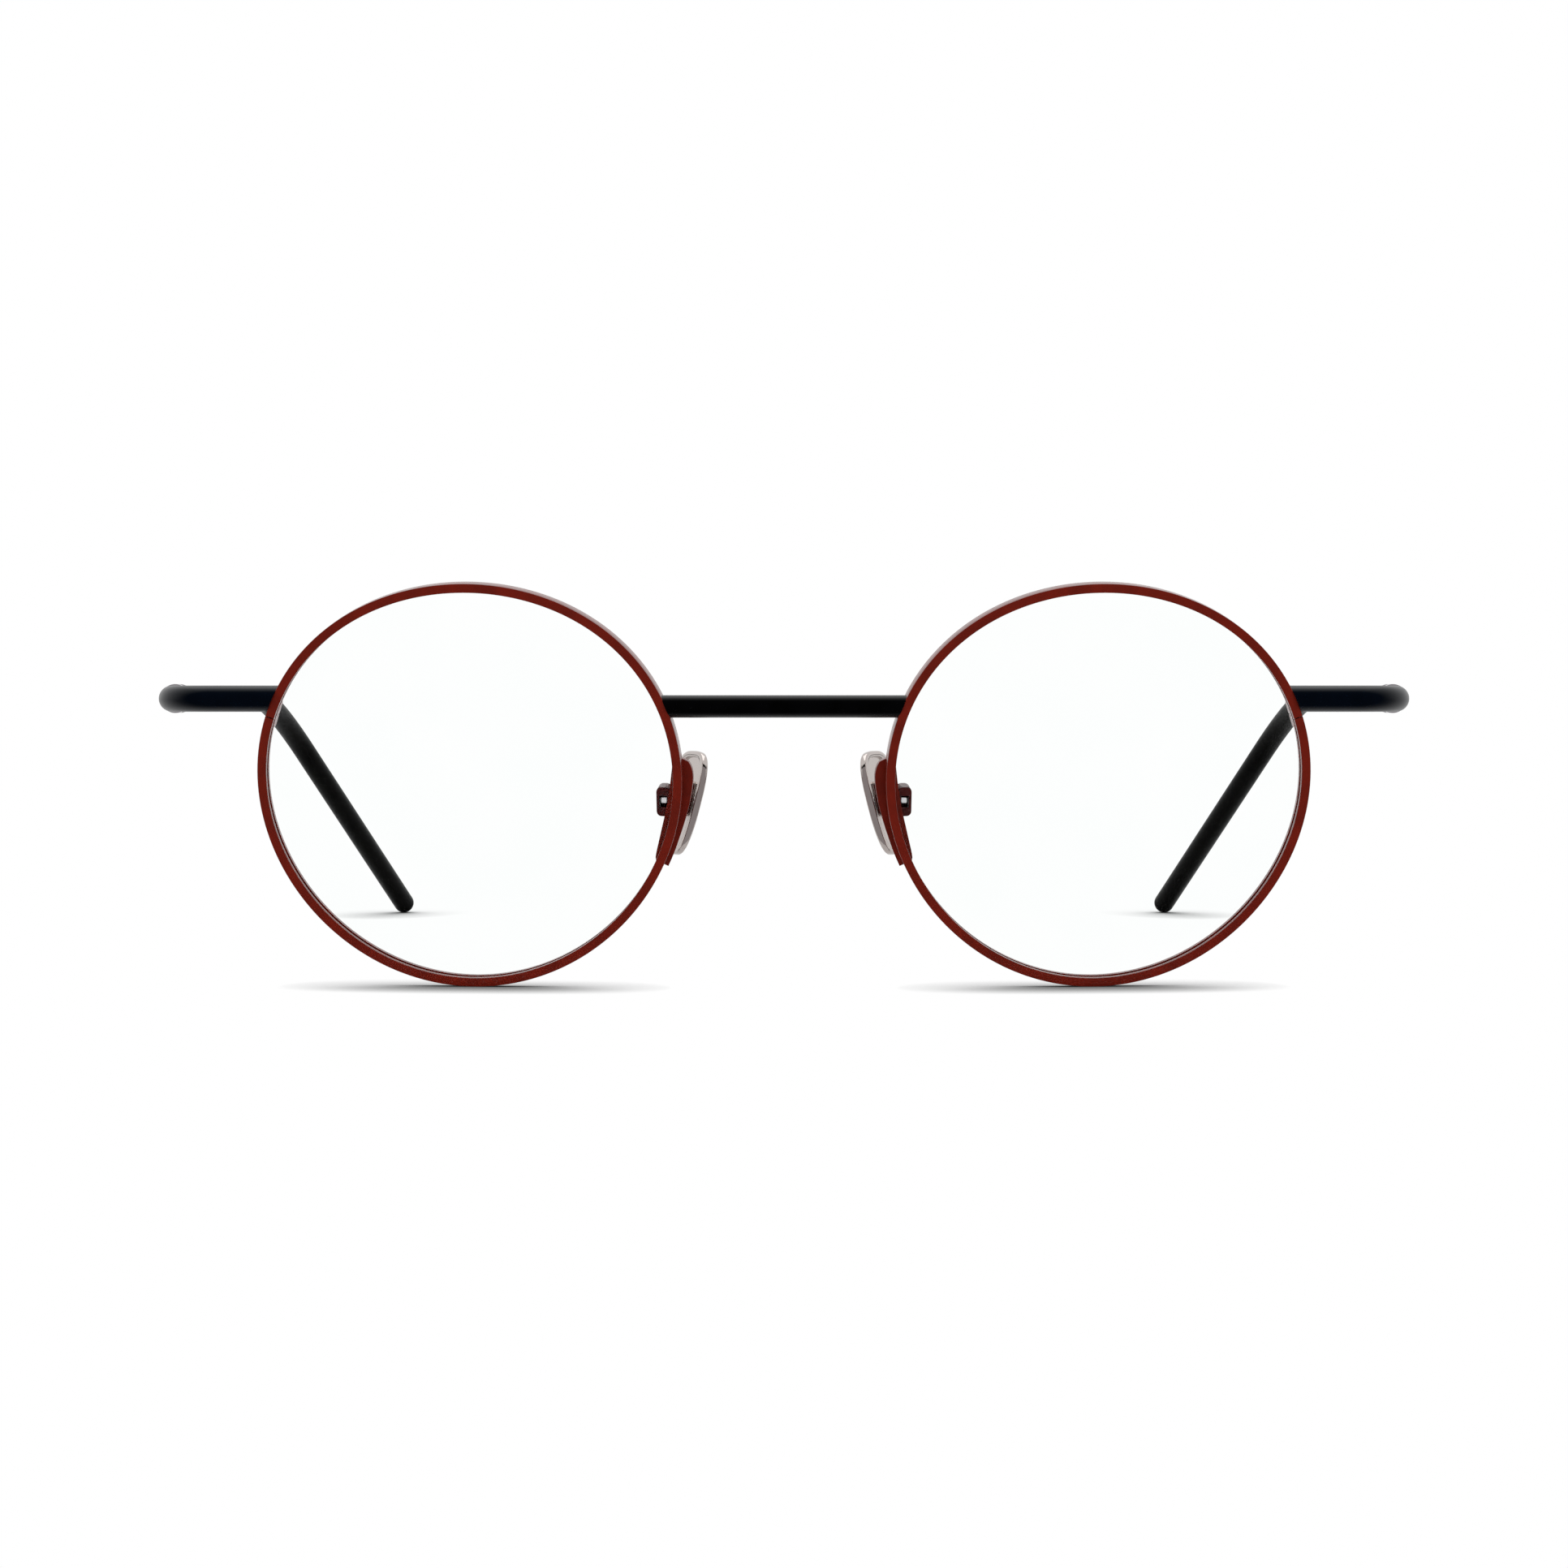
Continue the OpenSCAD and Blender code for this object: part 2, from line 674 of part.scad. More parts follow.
module nose_pad(side) {
  color("#9c9792") on_side(side) pad_frame() {
    difference() {
      intersection() {
        pad_prism(0, -pad_t / 2, pad_t / 2);
        translate([pad_curve - pad_t / 2, 0, 0]) sphere(r = pad_curve, $fn = pad_fine);
      }
      pad_prism(pad_edge, pad_t / 2 - pad_recess, pad_t);
    }
    translate([0, corner.y, corner.z])
      difference() {
        rotate([90, 0, 90])
          linear_extrude(height = boss_top) polygon(rounded_box(boss_w, boss_h, box_corner));
        along_x(boss_seat, pad_t + boss_out, stem_r + seat_gap);
      }
  }
}

rim(-1);  // right_rim
rim(1);  // left_rim
lens(-1);  // right_lens
lens(1);  // left_lens
bridge_bar();
endpiece_tube(-1);  // right_endpiece_tube
endpiece_tube(1);  // left_endpiece_tube
rim_lock(-1, 1);  // right_upper_rim_lock
rim_lock(1, 1);  // left_upper_rim_lock
rim_lock(-1, -1);  // right_lower_rim_lock
rim_lock(1, -1);  // left_lower_rim_lock
rim_lock_screw(-1);  // right_rim_lock_screw
rim_lock_screw(1);  // left_rim_lock_screw
hinge_front_leaf(-1);  // right_hinge_front_leaf
hinge_front_leaf(1);  // left_hinge_front_leaf
hinge_screw(-1);  // right_hinge_screw
hinge_screw(1);  // left_hinge_screw
hinge_temple_leaf(-1);  // right_hinge_temple_leaf
hinge_temple_leaf(1);  // left_hinge_temple_leaf
temple_tube(-1);  // right_temple_tube
temple_tube(1);  // left_temple_tube
temple_core(-1);  // right_temple_core
temple_core(1);  // left_temple_core
temple_tip(-1);  // right_temple_tip
temple_tip(1);  // left_temple_tip
pad_plate(-1);  // right_pad_plate
pad_plate(1);  // left_pad_plate
pad_box(-1);  // right_pad_box
pad_box(1);  // left_pad_box
pad_screw(-1);  // right_pad_screw
pad_screw(1);  // left_pad_screw
pad_stem(-1);  // right_pad_stem
pad_stem(1);  // left_pad_stem
nose_pad(-1);  // right_nose_pad
nose_pad(1);  // left_nose_pad
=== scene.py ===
"""Round wire-rimmed eyeglasses on a pale studio floor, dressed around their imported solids.

The classes hold their sizes in millimetres, as the drawing does. Each piece is modelled in the
axes of what carries it and is brought to metres when it is put in its place on the frame.
"""

import json
import logging
import math
from collections.abc import Callable, Sequence
from dataclasses import dataclass, field
from enum import Enum

import bmesh
import bpy
from mathutils import Matrix, Vector


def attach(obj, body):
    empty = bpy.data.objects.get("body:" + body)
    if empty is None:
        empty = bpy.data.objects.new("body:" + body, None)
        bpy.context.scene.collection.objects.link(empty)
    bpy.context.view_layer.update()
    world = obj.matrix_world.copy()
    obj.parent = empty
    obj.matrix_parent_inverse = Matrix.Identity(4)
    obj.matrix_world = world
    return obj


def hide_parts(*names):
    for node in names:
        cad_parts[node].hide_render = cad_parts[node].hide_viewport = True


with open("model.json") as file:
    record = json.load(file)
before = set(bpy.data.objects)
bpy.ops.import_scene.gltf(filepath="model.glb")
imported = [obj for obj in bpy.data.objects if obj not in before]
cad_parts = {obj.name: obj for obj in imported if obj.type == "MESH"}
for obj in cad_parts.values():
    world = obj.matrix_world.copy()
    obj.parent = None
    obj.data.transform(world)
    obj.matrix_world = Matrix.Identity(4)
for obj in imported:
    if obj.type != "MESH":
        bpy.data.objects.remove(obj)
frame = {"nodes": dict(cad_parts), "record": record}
log = logging.getLogger("eyeglasses")

METRES_PER_MM = 0.001
SMOOTH_BELOW = math.radians(35)  # faces that meet at less than this are shaded as one
ROUND_ABOVE = math.radians(40)  # edges sharper than this are rounded
FLAT_BELOW = math.radians(1)  # a solid's triangles that meet at less than this become one face
SAME_PLACE = 1e-4  # millimetres within which two places count as one
MERGE_WITHIN = 1e-5  # millimetres within which modelled points are merged
MERGE_SOLID_WITHIN = 1e-3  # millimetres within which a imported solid's points are merged
ARM_INSET = 0.005  # millimetres by which the arms' skins lie inside their solids
Point = tuple[float, float, float]


class Side(Enum):
    """The wearer's left lies at +X, and the right mirrors it."""

    RIGHT = -1
    LEFT = 1

    @property
    def word(self) -> str:
        """The side's word at the start of a node's name."""
        return self.name.lower()

    @property
    def mirror(self) -> Matrix:
        """The matrix that takes a left piece to this side."""
        return Matrix.Diagonal((self.value, 1.0, 1.0, 1.0))


@dataclass(frozen=True)
class Drawing:
    """Sizes that several pieces share, in millimetres and degrees."""

    lens_w: float = 46.2
    lens_h: float = 44.3
    corner_fill: float = 0.26
    lens_pitch: float = 70.1
    rim_w: float = 1.0
    rim_d: float = 2.0
    groove_depth: float = 0.25
    groove_w: float = 0.7
    tilt: float = 10.0
    wrap: float = 4.5
    bridge_d: float = 2.5
    bridge_up: float = 8.65
    arm_d: float = 2.95
    arm_up: float = 9.5
    hinge_pitch: float = 138.4
    splay: float = 1.3
    elbow_r: float = 5.0
    shank_len: float = 1.9
    collar_len: float = 2.0
    frame_y: float = -63.8435
    pad_in: float = 0.25
    pad_back: float = 6.3
    pad_down: float = 2.35
    pad_lean: float = 13.0
    pad_splay: float = 24.0

    @property
    def lens_r(self) -> float:
        """Mean radius of a lens."""
        return (self.lens_w + self.lens_h) / 4

    @property
    def rim_in(self) -> float:
        """Growth of the lens outline at the rim's inner edge."""
        return -self.groove_depth

    @property
    def rim_out(self) -> float:
        """Growth of the lens outline at the rim's outer edge."""
        return self.rim_w - self.groove_depth

    @property
    def lens_z(self) -> float:
        """Height of the lens centres when the rims stand on the floor."""
        a = math.radians(self.tilt)
        return self.outline(270, self.rim_out) * math.cos(a) + self.rim_d / 2 * math.sin(a)

    @property
    def arm_z(self) -> float:
        """Height of the arms' axis."""
        return self.lens_z + self.arm_up

    @property
    def arm_w(self) -> float:
        """The arms' height measured along the rim's plane."""
        return self.arm_up / math.cos(math.radians(self.tilt))

    @property
    def arm_y(self) -> float:
        """Depth of the arms' axis where it meets the rim."""
        return self.plane_y(self.reach(self.arm_w, self.rim_out), self.arm_w)

    @property
    def elbow_turn(self) -> float:
        """Angle of the elbow in degrees."""
        return 90 - self.splay

    @property
    def elbow_run(self) -> float:
        """Length of the straight behind the elbow."""
        return self.shank_len + self.collar_len

    def outline(self, degrees: float, grow: float) -> float:
        """Radius of the grown lens outline.

        Args:
            degrees: The angle up from the rim's outer side.
            grow: The growth of the outline.

        Returns:
            The radius at that angle.
        """
        a = math.radians(degrees)
        swing = (self.lens_w - self.lens_h) / 4
        return self.lens_r + grow + swing * math.cos(2 * a) + self.corner_fill * math.sin(3 * a)

    def ring(self, grow: float, y: float, steps: int) -> list[Vector]:
        """Points round the grown outline, in the rim's own axes.

        Args:
            grow: The growth of the outline.
            y: The place behind the lens plane.
            steps: How many points the ring has.

        Returns:
            The ring's points.
        """
        points = []
        for i in range(steps):
            degrees = 360 * i / steps
            r, a = self.outline(degrees, grow), math.radians(degrees)
            points.append(Vector((r * math.cos(a), y, r * math.sin(a))))
        return points

    def reach(self, height: float, grow: float) -> float:
        """Half width of the grown outline at a height above the lens centre."""
        r = self.outline(math.degrees(math.asin(height / (self.lens_r + grow))), grow)
        return math.sqrt(r * r - height * height)

    def plane_y(self, x: float, height: float) -> float:
        """How far back the rim's middle plane lies at a place on it."""
        tilt, wrap = math.radians(self.tilt), math.radians(self.wrap)
        return x * math.sin(wrap) - height * math.sin(tilt) * math.cos(wrap)

    def front(self) -> Matrix:
        """Axes of the whole front: X across, the lens centres' height and plane at nought."""
        return Matrix.Translation((0, self.frame_y, 0))

    def rim(self) -> Matrix:
        """Finds where the left rim lies.

        Returns:
            Its axes, about its lens's centre.
        """
        wrap = Matrix.Rotation(math.radians(self.wrap), 4, "Z")
        tilt = Matrix.Rotation(math.radians(self.tilt), 4, "X")
        return self.front() @ Matrix.Translation((self.lens_pitch / 2, 0, self.lens_z)) @ wrap @ tilt

    def cut(self, angle: float, grow: float) -> tuple[Vector, Vector]:
        """The plane in which a bar ends on the left rim, in the front's axes.

        Args:
            angle: The angle up from the rim's outer side, in radians.
            grow: The growth of the lens outline that the plane touches.

        Returns:
            A point of the plane, and the direction in which it faces.
        """
        axes = self.front().inverted() @ self.rim()
        ray = Vector((math.cos(angle), 0, math.sin(angle)))
        return axes @ (ray * self.outline(math.degrees(angle), grow)), axes.to_3x3() @ ray

    def hinge(self) -> Matrix:
        """Finds where the left temple turns.

        Returns:
            The open temple's axes, where its tube meets the endpiece's.
        """
        a = math.radians(self.elbow_turn)
        y = self.arm_y + self.elbow_r * (1 - math.cos(a)) + self.elbow_run * math.sin(a)
        place = Matrix.Translation((self.hinge_pitch / 2, y, self.arm_z))
        return self.front() @ place @ Matrix.Rotation(-math.radians(self.splay), 4, "Z")

    def pad(self) -> Matrix:
        """Finds where the left nose pad lies.

        Returns:
            Its axes, X through its thickness and away from the nose.
        """
        splay = Matrix.Rotation(-math.radians(self.pad_splay), 4, "Z")
        lean = Matrix.Rotation(-math.radians(self.pad_lean), 4, "Y")
        x = self.lens_pitch / 2 - self.reach(-self.pad_down, self.rim_out) - self.pad_in
        place = Matrix.Translation((x, self.pad_back, self.lens_z - self.pad_down))
        return self.front() @ place @ splay @ lean


DRAWING = Drawing()


# Bench tools: adding, shaping and placing


def deselect() -> None:
    """Leaves object mode with nothing selected."""
    if bpy.context.object and bpy.context.object.mode != "OBJECT":
        bpy.ops.object.mode_set(mode="OBJECT")
    bpy.ops.object.select_all(action="DESELECT")


def activate(piece: bpy.types.Object) -> None:
    """Makes a piece the only selected one.

    Args:
        piece: The piece.
    """
    deselect()
    piece.select_set(True)
    bpy.context.view_layer.objects.active = piece


def edit(piece: bpy.types.Object) -> None:
    """Enters edit mode on a piece with all of it selected.

    Args:
        piece: The piece.
    """
    activate(piece)
    bpy.ops.object.mode_set(mode="EDIT")
    bpy.ops.mesh.select_all(action="SELECT")


def choose_edges(piece: bpy.types.Object, wanted: Callable[[Vector], bool]) -> None:
    """Selects, in edit mode, the edges whose middle is wanted.

    Args:
        piece: The piece in edit mode.
        wanted: Says whether an edge with that middle is chosen.
    """
    bpy.ops.mesh.select_mode(type="EDGE")
    mesh = bmesh.from_edit_mesh(piece.data)
    for edge in mesh.edges:
        edge.select_set(wanted((edge.verts[0].co + edge.verts[1].co) / 2))
    mesh.select_flush_mode()
    bmesh.update_edit_mesh(piece.data)


def spot(place: Vector, digits: int = 7) -> tuple[float, ...]:
    """Rounds a place to a key, by which a point is known again after it has been extruded."""
    return tuple(round(c, digits) for c in place)


def loft(rings: Sequence[Sequence[Vector]], closed: bool = False) -> bpy.types.Object:
    """Skins a row of rings: a circle becomes the first, and each next one is extruded and moved.

    Args:
        rings: Rings of points, each with the same count.
        closed: Whether the last ring joins the first one, instead of a face at each end.

    Returns:
        The new piece, in millimetres.
    """
    deselect()
    bpy.ops.mesh.primitive_circle_add(vertices=len(rings[0]), radius=1)
    piece = bpy.context.object
    edit(piece)
    bpy.ops.mesh.select_mode(type="VERT")
    mesh = bmesh.from_edit_mesh(piece.data)
    if not closed:
        bpy.ops.mesh.edge_face_add()
        bpy.ops.mesh.select_all(action="SELECT")
    for vertex, point in zip(mesh.verts, rings[0]):
        vertex.co = point
    places = {spot(v.co): i for i, v in enumerate(mesh.verts)}
    bmesh.update_edit_mesh(piece.data)
    for ring in rings[1:]:
        bpy.ops.mesh.extrude_region_move()
        mesh = bmesh.from_edit_mesh(piece.data)
        moved = {}
        for vertex in mesh.verts:
            if vertex.select:
                i = places[spot(vertex.co)]
                vertex.co = ring[i]
                moved[spot(vertex.co)] = i
        places = moved
        bmesh.update_edit_mesh(piece.data)
    if closed:
        bpy.ops.mesh.select_mode(type="EDGE")
        bpy.ops.mesh.select_all(action="DESELECT")
        bpy.ops.mesh.select_non_manifold()
        bpy.ops.mesh.bridge_edge_loops()
    finish_mesh()
    return piece


def finish_mesh() -> None:
    """Merges doubles, turns all faces outwards and leaves edit mode."""
    bpy.ops.mesh.select_all(action="SELECT")
    bpy.ops.mesh.remove_doubles(threshold=MERGE_WITHIN)
    bpy.ops.mesh.select_all(action="SELECT")
    bpy.ops.mesh.normals_make_consistent(inside=False)
    bpy.ops.object.mode_set(mode="OBJECT")


def round_edges(piece: bpy.types.Object, width: float, segments: int = 3) -> None:
    """Rounds a piece's edges with a bevel that is applied.

    Args:
        piece: The piece.
        width: The bevel's width.
        segments: Its steps.
    """
    activate(piece)
    bevel = piece.modifiers.new("rounding", "BEVEL")
    bevel.width, bevel.segments = width, segments
    bevel.limit_method, bevel.angle_limit = "ANGLE", ROUND_ABOVE
    bpy.ops.object.modifier_apply(modifier=bevel.name)


def carve(piece: bpy.types.Object, cutter: bpy.types.Object) -> None:
    """Cuts one piece out of another and deletes the cutter.

    Args:
        piece: The piece that is cut.
        cutter: The piece whose shape is taken away.
    """
    activate(piece)
    cut = piece.modifiers.new("cut", "BOOLEAN")
    cut.operation, cut.solver, cut.object = "DIFFERENCE", "EXACT", cutter
    bpy.ops.object.modifier_apply(modifier=cut.name)
    bpy.data.objects.remove(cutter)


def place(piece: bpy.types.Object, axes: Matrix) -> None:
    """Puts a piece in its place on the frame, in metres, with its place in its mesh.

    Args:
        piece: The piece, in millimetres and in its own axes.
        axes: Where those axes lie on the frame, in millimetres.
    """
    activate(piece)
    piece.matrix_world = Matrix.Scale(METRES_PER_MM, 4) @ axes
    bpy.ops.object.transform_apply(location=True, rotation=True, scale=True)
    edit(piece)
    bpy.ops.mesh.normals_make_consistent(inside=False)
    bpy.ops.object.mode_set(mode="OBJECT")
    bpy.ops.object.shade_smooth_by_angle(angle=SMOOTH_BELOW)


def trim(piece: bpy.types.Object, at: Vector, way: Vector) -> None:
    """Cuts a piece at a plane and keeps what lies on the side that the plane faces.

    Args:
        piece: The piece.
        at: A point of the plane.
        way: The direction in which the plane faces.
    """
    edit(piece)
    bpy.ops.mesh.bisect(plane_co=at, plane_no=way, use_fill=True, clear_inner=True)
    finish_mesh()


def dress(
    piece: bpy.types.Object, name: str, body: str, finish: bpy.types.Material, nodes: Sequence[str]
) -> None:
    """Names a piece, gives it its finish and ties it to the frame.

    Args:
        piece: The finished piece.
        name: Its name.
        body: The body that it rides on.
        finish: Its material.
        nodes: The CAD nodes that it stands for.
    """
    piece.name = piece.data.name = name
    piece.data.materials.clear()
    piece.data.materials.append(finish)
    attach(piece, body)
    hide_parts(*nodes)
    log.info("%s rides on %s with %d faces", name, body, len(piece.data.polygons))


def softened(node: str, width: float) -> bpy.types.Object:
    """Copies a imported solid, merges its triangles into faces and rounds its edges.

    Args:
        node: The CAD node.
        width: The bevel's width in millimetres.

    Returns:
        The copy, in metres and in its place.
    """
    source = frame["nodes"][node]
    piece = bpy.data.objects.new(node + "_skin", source.data.copy())
    bpy.context.scene.collection.objects.link(piece)
    edit(piece)
    bpy.ops.mesh.remove_doubles(threshold=MERGE_SOLID_WITHIN * METRES_PER_MM)
    bpy.ops.mesh.select_all(action="SELECT")
    bpy.ops.mesh.dissolve_limited(angle_limit=FLAT_BELOW)
    bpy.ops.mesh.select_all(action="SELECT")
    bpy.ops.mesh.normals_make_consistent(inside=False)
    bpy.ops.object.mode_set(mode="OBJECT")
    round_edges(piece, width * METRES_PER_MM, segments=2)
    activate(piece)
    bpy.ops.object.shade_smooth_by_angle(angle=SMOOTH_BELOW)
    flat = piece.modifiers.new("flat faces", "WEIGHTED_NORMAL")
    flat.keep_sharp = True
    bpy.ops.object.modifier_apply(modifier=flat.name)
    return piece


# Finishes


def linear(code: str) -> tuple[float, float, float, float]:
    """Turns an sRGB hex colour into a linear one.

    Args:
        code: The colour, as a hash and six digits.

    Returns:
        Its red, green, blue and alpha.
    """
    parts = [int(code[i : i + 2], 16) / 255 for i in (1, 3, 5)]
    low = [c / 12.92 if c <= 0.04045 else ((c + 0.055) / 1.055) ** 2.4 for c in parts]
    return (low[0], low[1], low[2], 1.0)


def add_node(tree: bpy.types.NodeTree, kind: str, inputs: dict | None = None, **settings) -> bpy.types.Node:
    """Adds a node with its settings and links.

    Args:
        tree: The node tree.
        kind: The node's type.
        inputs: For each input, by name or number, the socket that feeds it or its value.
        settings: The node's own properties.

    Returns:
        The new node.
    """
    node = tree.nodes.new(kind)
    for key, value in settings.items():
        setattr(node, key, value)
    for key, value in (inputs or {}).items():
        if isinstance(value, bpy.types.NodeSocket):
            tree.links.new(value, node.inputs[key])
        else:
            node.inputs[key].default_value = value
    return node


def per_metre(size_mm: float) -> float:
    """How many patches of a size in millimetres fit in a metre."""
    return 1 / (size_mm * METRES_PER_MM)


def new_material(name: str) -> tuple[bpy.types.Material, bpy.types.NodeTree]:
    """Adds a material with an empty node tree.

    Args:
        name: The material's name.

    Returns:
        The material and its tree.
    """
    material = bpy.data.materials.new(name)
    material.use_nodes = True
    material.node_tree.nodes.clear()
    return material, material.node_tree


@dataclass(frozen=True)
class Lacquer:
    """Stoved lacquer or smooth resin: two close tones, orange peel, and more shine on slanting faces."""

    name: str
    base: str
    second: str
    roughness: float
    facing_shine: float
    slanting_shine: float
    roughness_swing: float = 0.04
    cloud_mm: float = 2.5
    cloud_detail: float = 3.0
    cloud_from: float = 0.35
    cloud_to: float = 0.65
    peel_mm: float = 0.22
    peel_detail: float = 2.0
    peel_height_mm: float = 0.003
    peel_strength: float = 0.35
    slant_from: float = 0.15
    slant_to: float = 0.9
    slant_blend: float = 0.5

    def build(self) -> bpy.types.Material:
        """Builds the material.

        Returns:
            The finished material.
        """
        material, tree = new_material(self.name)
        where = add_node(tree, "ShaderNodeTexCoord").outputs["Object"]
        cloud = add_node(
            tree,
            "ShaderNodeTexNoise",
            {"Vector": where, "Scale": per_metre(self.cloud_mm), "Detail": self.cloud_detail},
        )
        share = add_node(
            tree,
            "ShaderNodeMapRange",
            {"Value": cloud.outputs["Fac"], "From Min": self.cloud_from, "From Max": self.cloud_to},
        )
        colour = add_node(
            tree,
            "ShaderNodeMix",
            {"Factor": share.outputs["Result"], 6: linear(self.base), 7: linear(self.second)},
            data_type="RGBA",
        )
        least, most = self.roughness - self.roughness_swing, self.roughness + self.roughness_swing
        sheen = add_node(
            tree, "ShaderNodeMapRange", {"Value": cloud.outputs["Fac"], "To Min": least, "To Max": most}
        )
        peel = add_node(
            tree,
            "ShaderNodeTexNoise",
            {"Vector": where, "Scale": per_metre(self.peel_mm), "Detail": self.peel_detail},
        )
        height = self.peel_height_mm * METRES_PER_MM
        bump = add_node(
            tree,
            "ShaderNodeBump",
            {"Height": peel.outputs["Fac"], "Strength": self.peel_strength, "Distance": height},
        )
        slant = add_node(tree, "ShaderNodeLayerWeight", {"Blend": self.slant_blend})
        shine = add_node(
            tree,
            "ShaderNodeMapRange",
            {
                "Value": slant.outputs["Facing"],
                "From Min": self.slant_from,
                "From Max": self.slant_to,
                "To Min": self.facing_shine,
                "To Max": self.slanting_shine,
            },
        )
        shader = add_node(
            tree,
            "ShaderNodeBsdfPrincipled",
            {
                "Base Color": colour.outputs[2],
                "Roughness": sheen.outputs["Result"],
                "Normal": bump.outputs["Normal"],
                "Specular IOR Level": shine.outputs["Result"],
            },
        )
        add_node(tree, "ShaderNodeOutputMaterial", {"Surface": shader.outputs["BSDF"]})
        return material


@dataclass(frozen=True)
class Metal:
    """Bare metal, machined or polished: a grain along one way, drawn coarse enough to show in its shine."""

    name: str
    base: str
    second: str
    roughness: float
    roughness_swing: float = 0.05
    least_roughness: float = 0.02
    grain_mm: float = 0.25
    grain_detail: float = 4.0
    grain_stretch: float = 8.0
    grain_height_mm: float = 0.0015
    grain_strength: float = 0.25

    def build(self) -> bpy.types.Material:
        """Builds the material.

        Returns:
            The finished material.
        """
        material, tree = new_material(self.name)
        where = add_node(tree, "ShaderNodeTexCoord").outputs["Object"]
        stretch = (1.0, 1.0 / self.grain_stretch, 1.0)
        along = add_node(tree, "ShaderNodeMapping", {"Vector": where, "Scale": stretch})
        scale = per_metre(self.grain_mm)
        grain = add_node(
            tree,
            "ShaderNodeTexNoise",
            {"Vector": along.outputs["Vector"], "Scale": scale, "Detail": self.grain_detail},
        )
        colour = add_node(
            tree,
            "ShaderNodeMix",
            {"Factor": grain.outputs["Fac"], 6: linear(self.base), 7: linear(self.second)},
            data_type="RGBA",
        )
        least = max(self.least_roughness, self.roughness - self.roughness_swing)
        most = self.roughness + self.roughness_swing
        polish = add_node(
            tree, "ShaderNodeMapRange", {"Value": grain.outputs["Fac"], "To Min": least, "To Max": most}
        )
        height = self.grain_height_mm * METRES_PER_MM
        bump = add_node(
            tree,
            "ShaderNodeBump",
            {"Height": grain.outputs["Fac"], "Strength": self.grain_strength, "Distance": height},
        )
        shader = add_node(
            tree,
            "ShaderNodeBsdfPrincipled",
            {
                "Base Color": colour.outputs[2],
                "Metallic": 1.0,
                "Roughness": polish.outputs["Result"],
                "Normal": bump.outputs["Normal"],
            },
        )
        add_node(tree, "ShaderNodeOutputMaterial", {"Surface": shader.outputs["BSDF"]})
        return material


@dataclass(frozen=True)
class ClearLens:
    """Clear resin, with an index well below the real one so that it neither bends nor mirrors much."""

    name: str = "clear_coated_resin"
    base: str = "#ffffff"
    second: str = "#fbfefd"
    ior: float = 1.05
    smear_mm: float = 9.0
    smear_detail: float = 2.0

    def build(self) -> bpy.types.Material:
        """Builds the material.

        Returns:
            The finished material.
        """
        material, tree = new_material(self.name)
        where = add_node(tree, "ShaderNodeTexCoord").outputs["Object"]
        smear = add_node(
            tree,
            "ShaderNodeTexNoise",
            {"Vector": where, "Scale": per_metre(self.smear_mm), "Detail": self.smear_detail},
        )
        colour = add_node(
            tree,
            "ShaderNodeMix",
            {"Factor": smear.outputs["Fac"], 6: linear(self.base), 7: linear(self.second)},
            data_type="RGBA",
        )
        shader = add_node(
            tree,
            "ShaderNodeBsdfPrincipled",
            {"Base Color": colour.outputs[2], "Roughness": 0.0, "IOR": self.ior, "Transmission Weight": 1.0},
        )
        add_node(tree, "ShaderNodeOutputMaterial", {"Surface": shader.outputs["BSDF"]})
        return material


@dataclass(frozen=True)
class Finishes:
    """The materials of all the pieces."""

    rim: bpy.types.Material
    box: bpy.types.Material
    bridge: bpy.types.Material
    endpiece: bpy.types.Material
    tip: bpy.types.Material
    pad: bpy.types.Material
    steel: bpy.types.Material
    lens: bpy.types.Material

    @classmethod
    def mixed(cls) -> "Finishes":
        """Mixes every finish once.

        Returns:
            The set of materials.
        """
        return cls(
            # Brick red lacquer: a deep warm red face on, that pales to a light line where it slants away
            rim=Lacquer(
                "brick_red_lacquer", "#64190e", "#701b0e", 0.22, facing_shine=0.06, slanting_shine=0.8
            ).build(),
            # Red lacquer with painted shade: the plates' red made darker, which paints the shade on the small
            # boxes, sets them off from the plates and keeps their windows dark
            box=Lacquer(
                "dark_red_lacquer", "#3a0d0b", "#450f0d", 0.24, facing_shine=0.1, slanting_shine=0.2
            ).build(),
            # Black lacquer: the bars are black along their middle, with thin grey edges
            bridge=Lacquer(
                "black_lacquer", "#020202", "#040405", 0.3, facing_shine=0.01, slanting_shine=0.5
            ).build(),
            # Navy black lacquer: a cold black with a broader grey sheen round the elbow
            endpiece=Lacquer(
                "navy_black_lacquer", "#01050d", "#020711", 0.34, facing_shine=0.02, slanting_shine=0.7
            ).build(),
            # Satin black resin: a flat black with almost no shine, which stays dark behind the lenses
            tip=Lacquer(
                "satin_black_resin", "#030303", "#050504", 0.36, facing_shine=0.0, slanting_shine=0.05
            ).build(),
            # Polished nickel silver: a warm pale grey that mirrors the red parts beside it
            pad=Metal("polished_nickel_silver", "#b5aca8", "#bdb5b1", 0.10).build(),
            # Bright steel: small light glints at the hinges and screws
            steel=Metal("bright_steel", "#c4c2c4", "#cfcdcf", 0.18).build(),
            # Clear resin: lets the temples behind it show all but unbent, with the faintest cold tint
            lens=ClearLens().build(),
        )


# The pieces


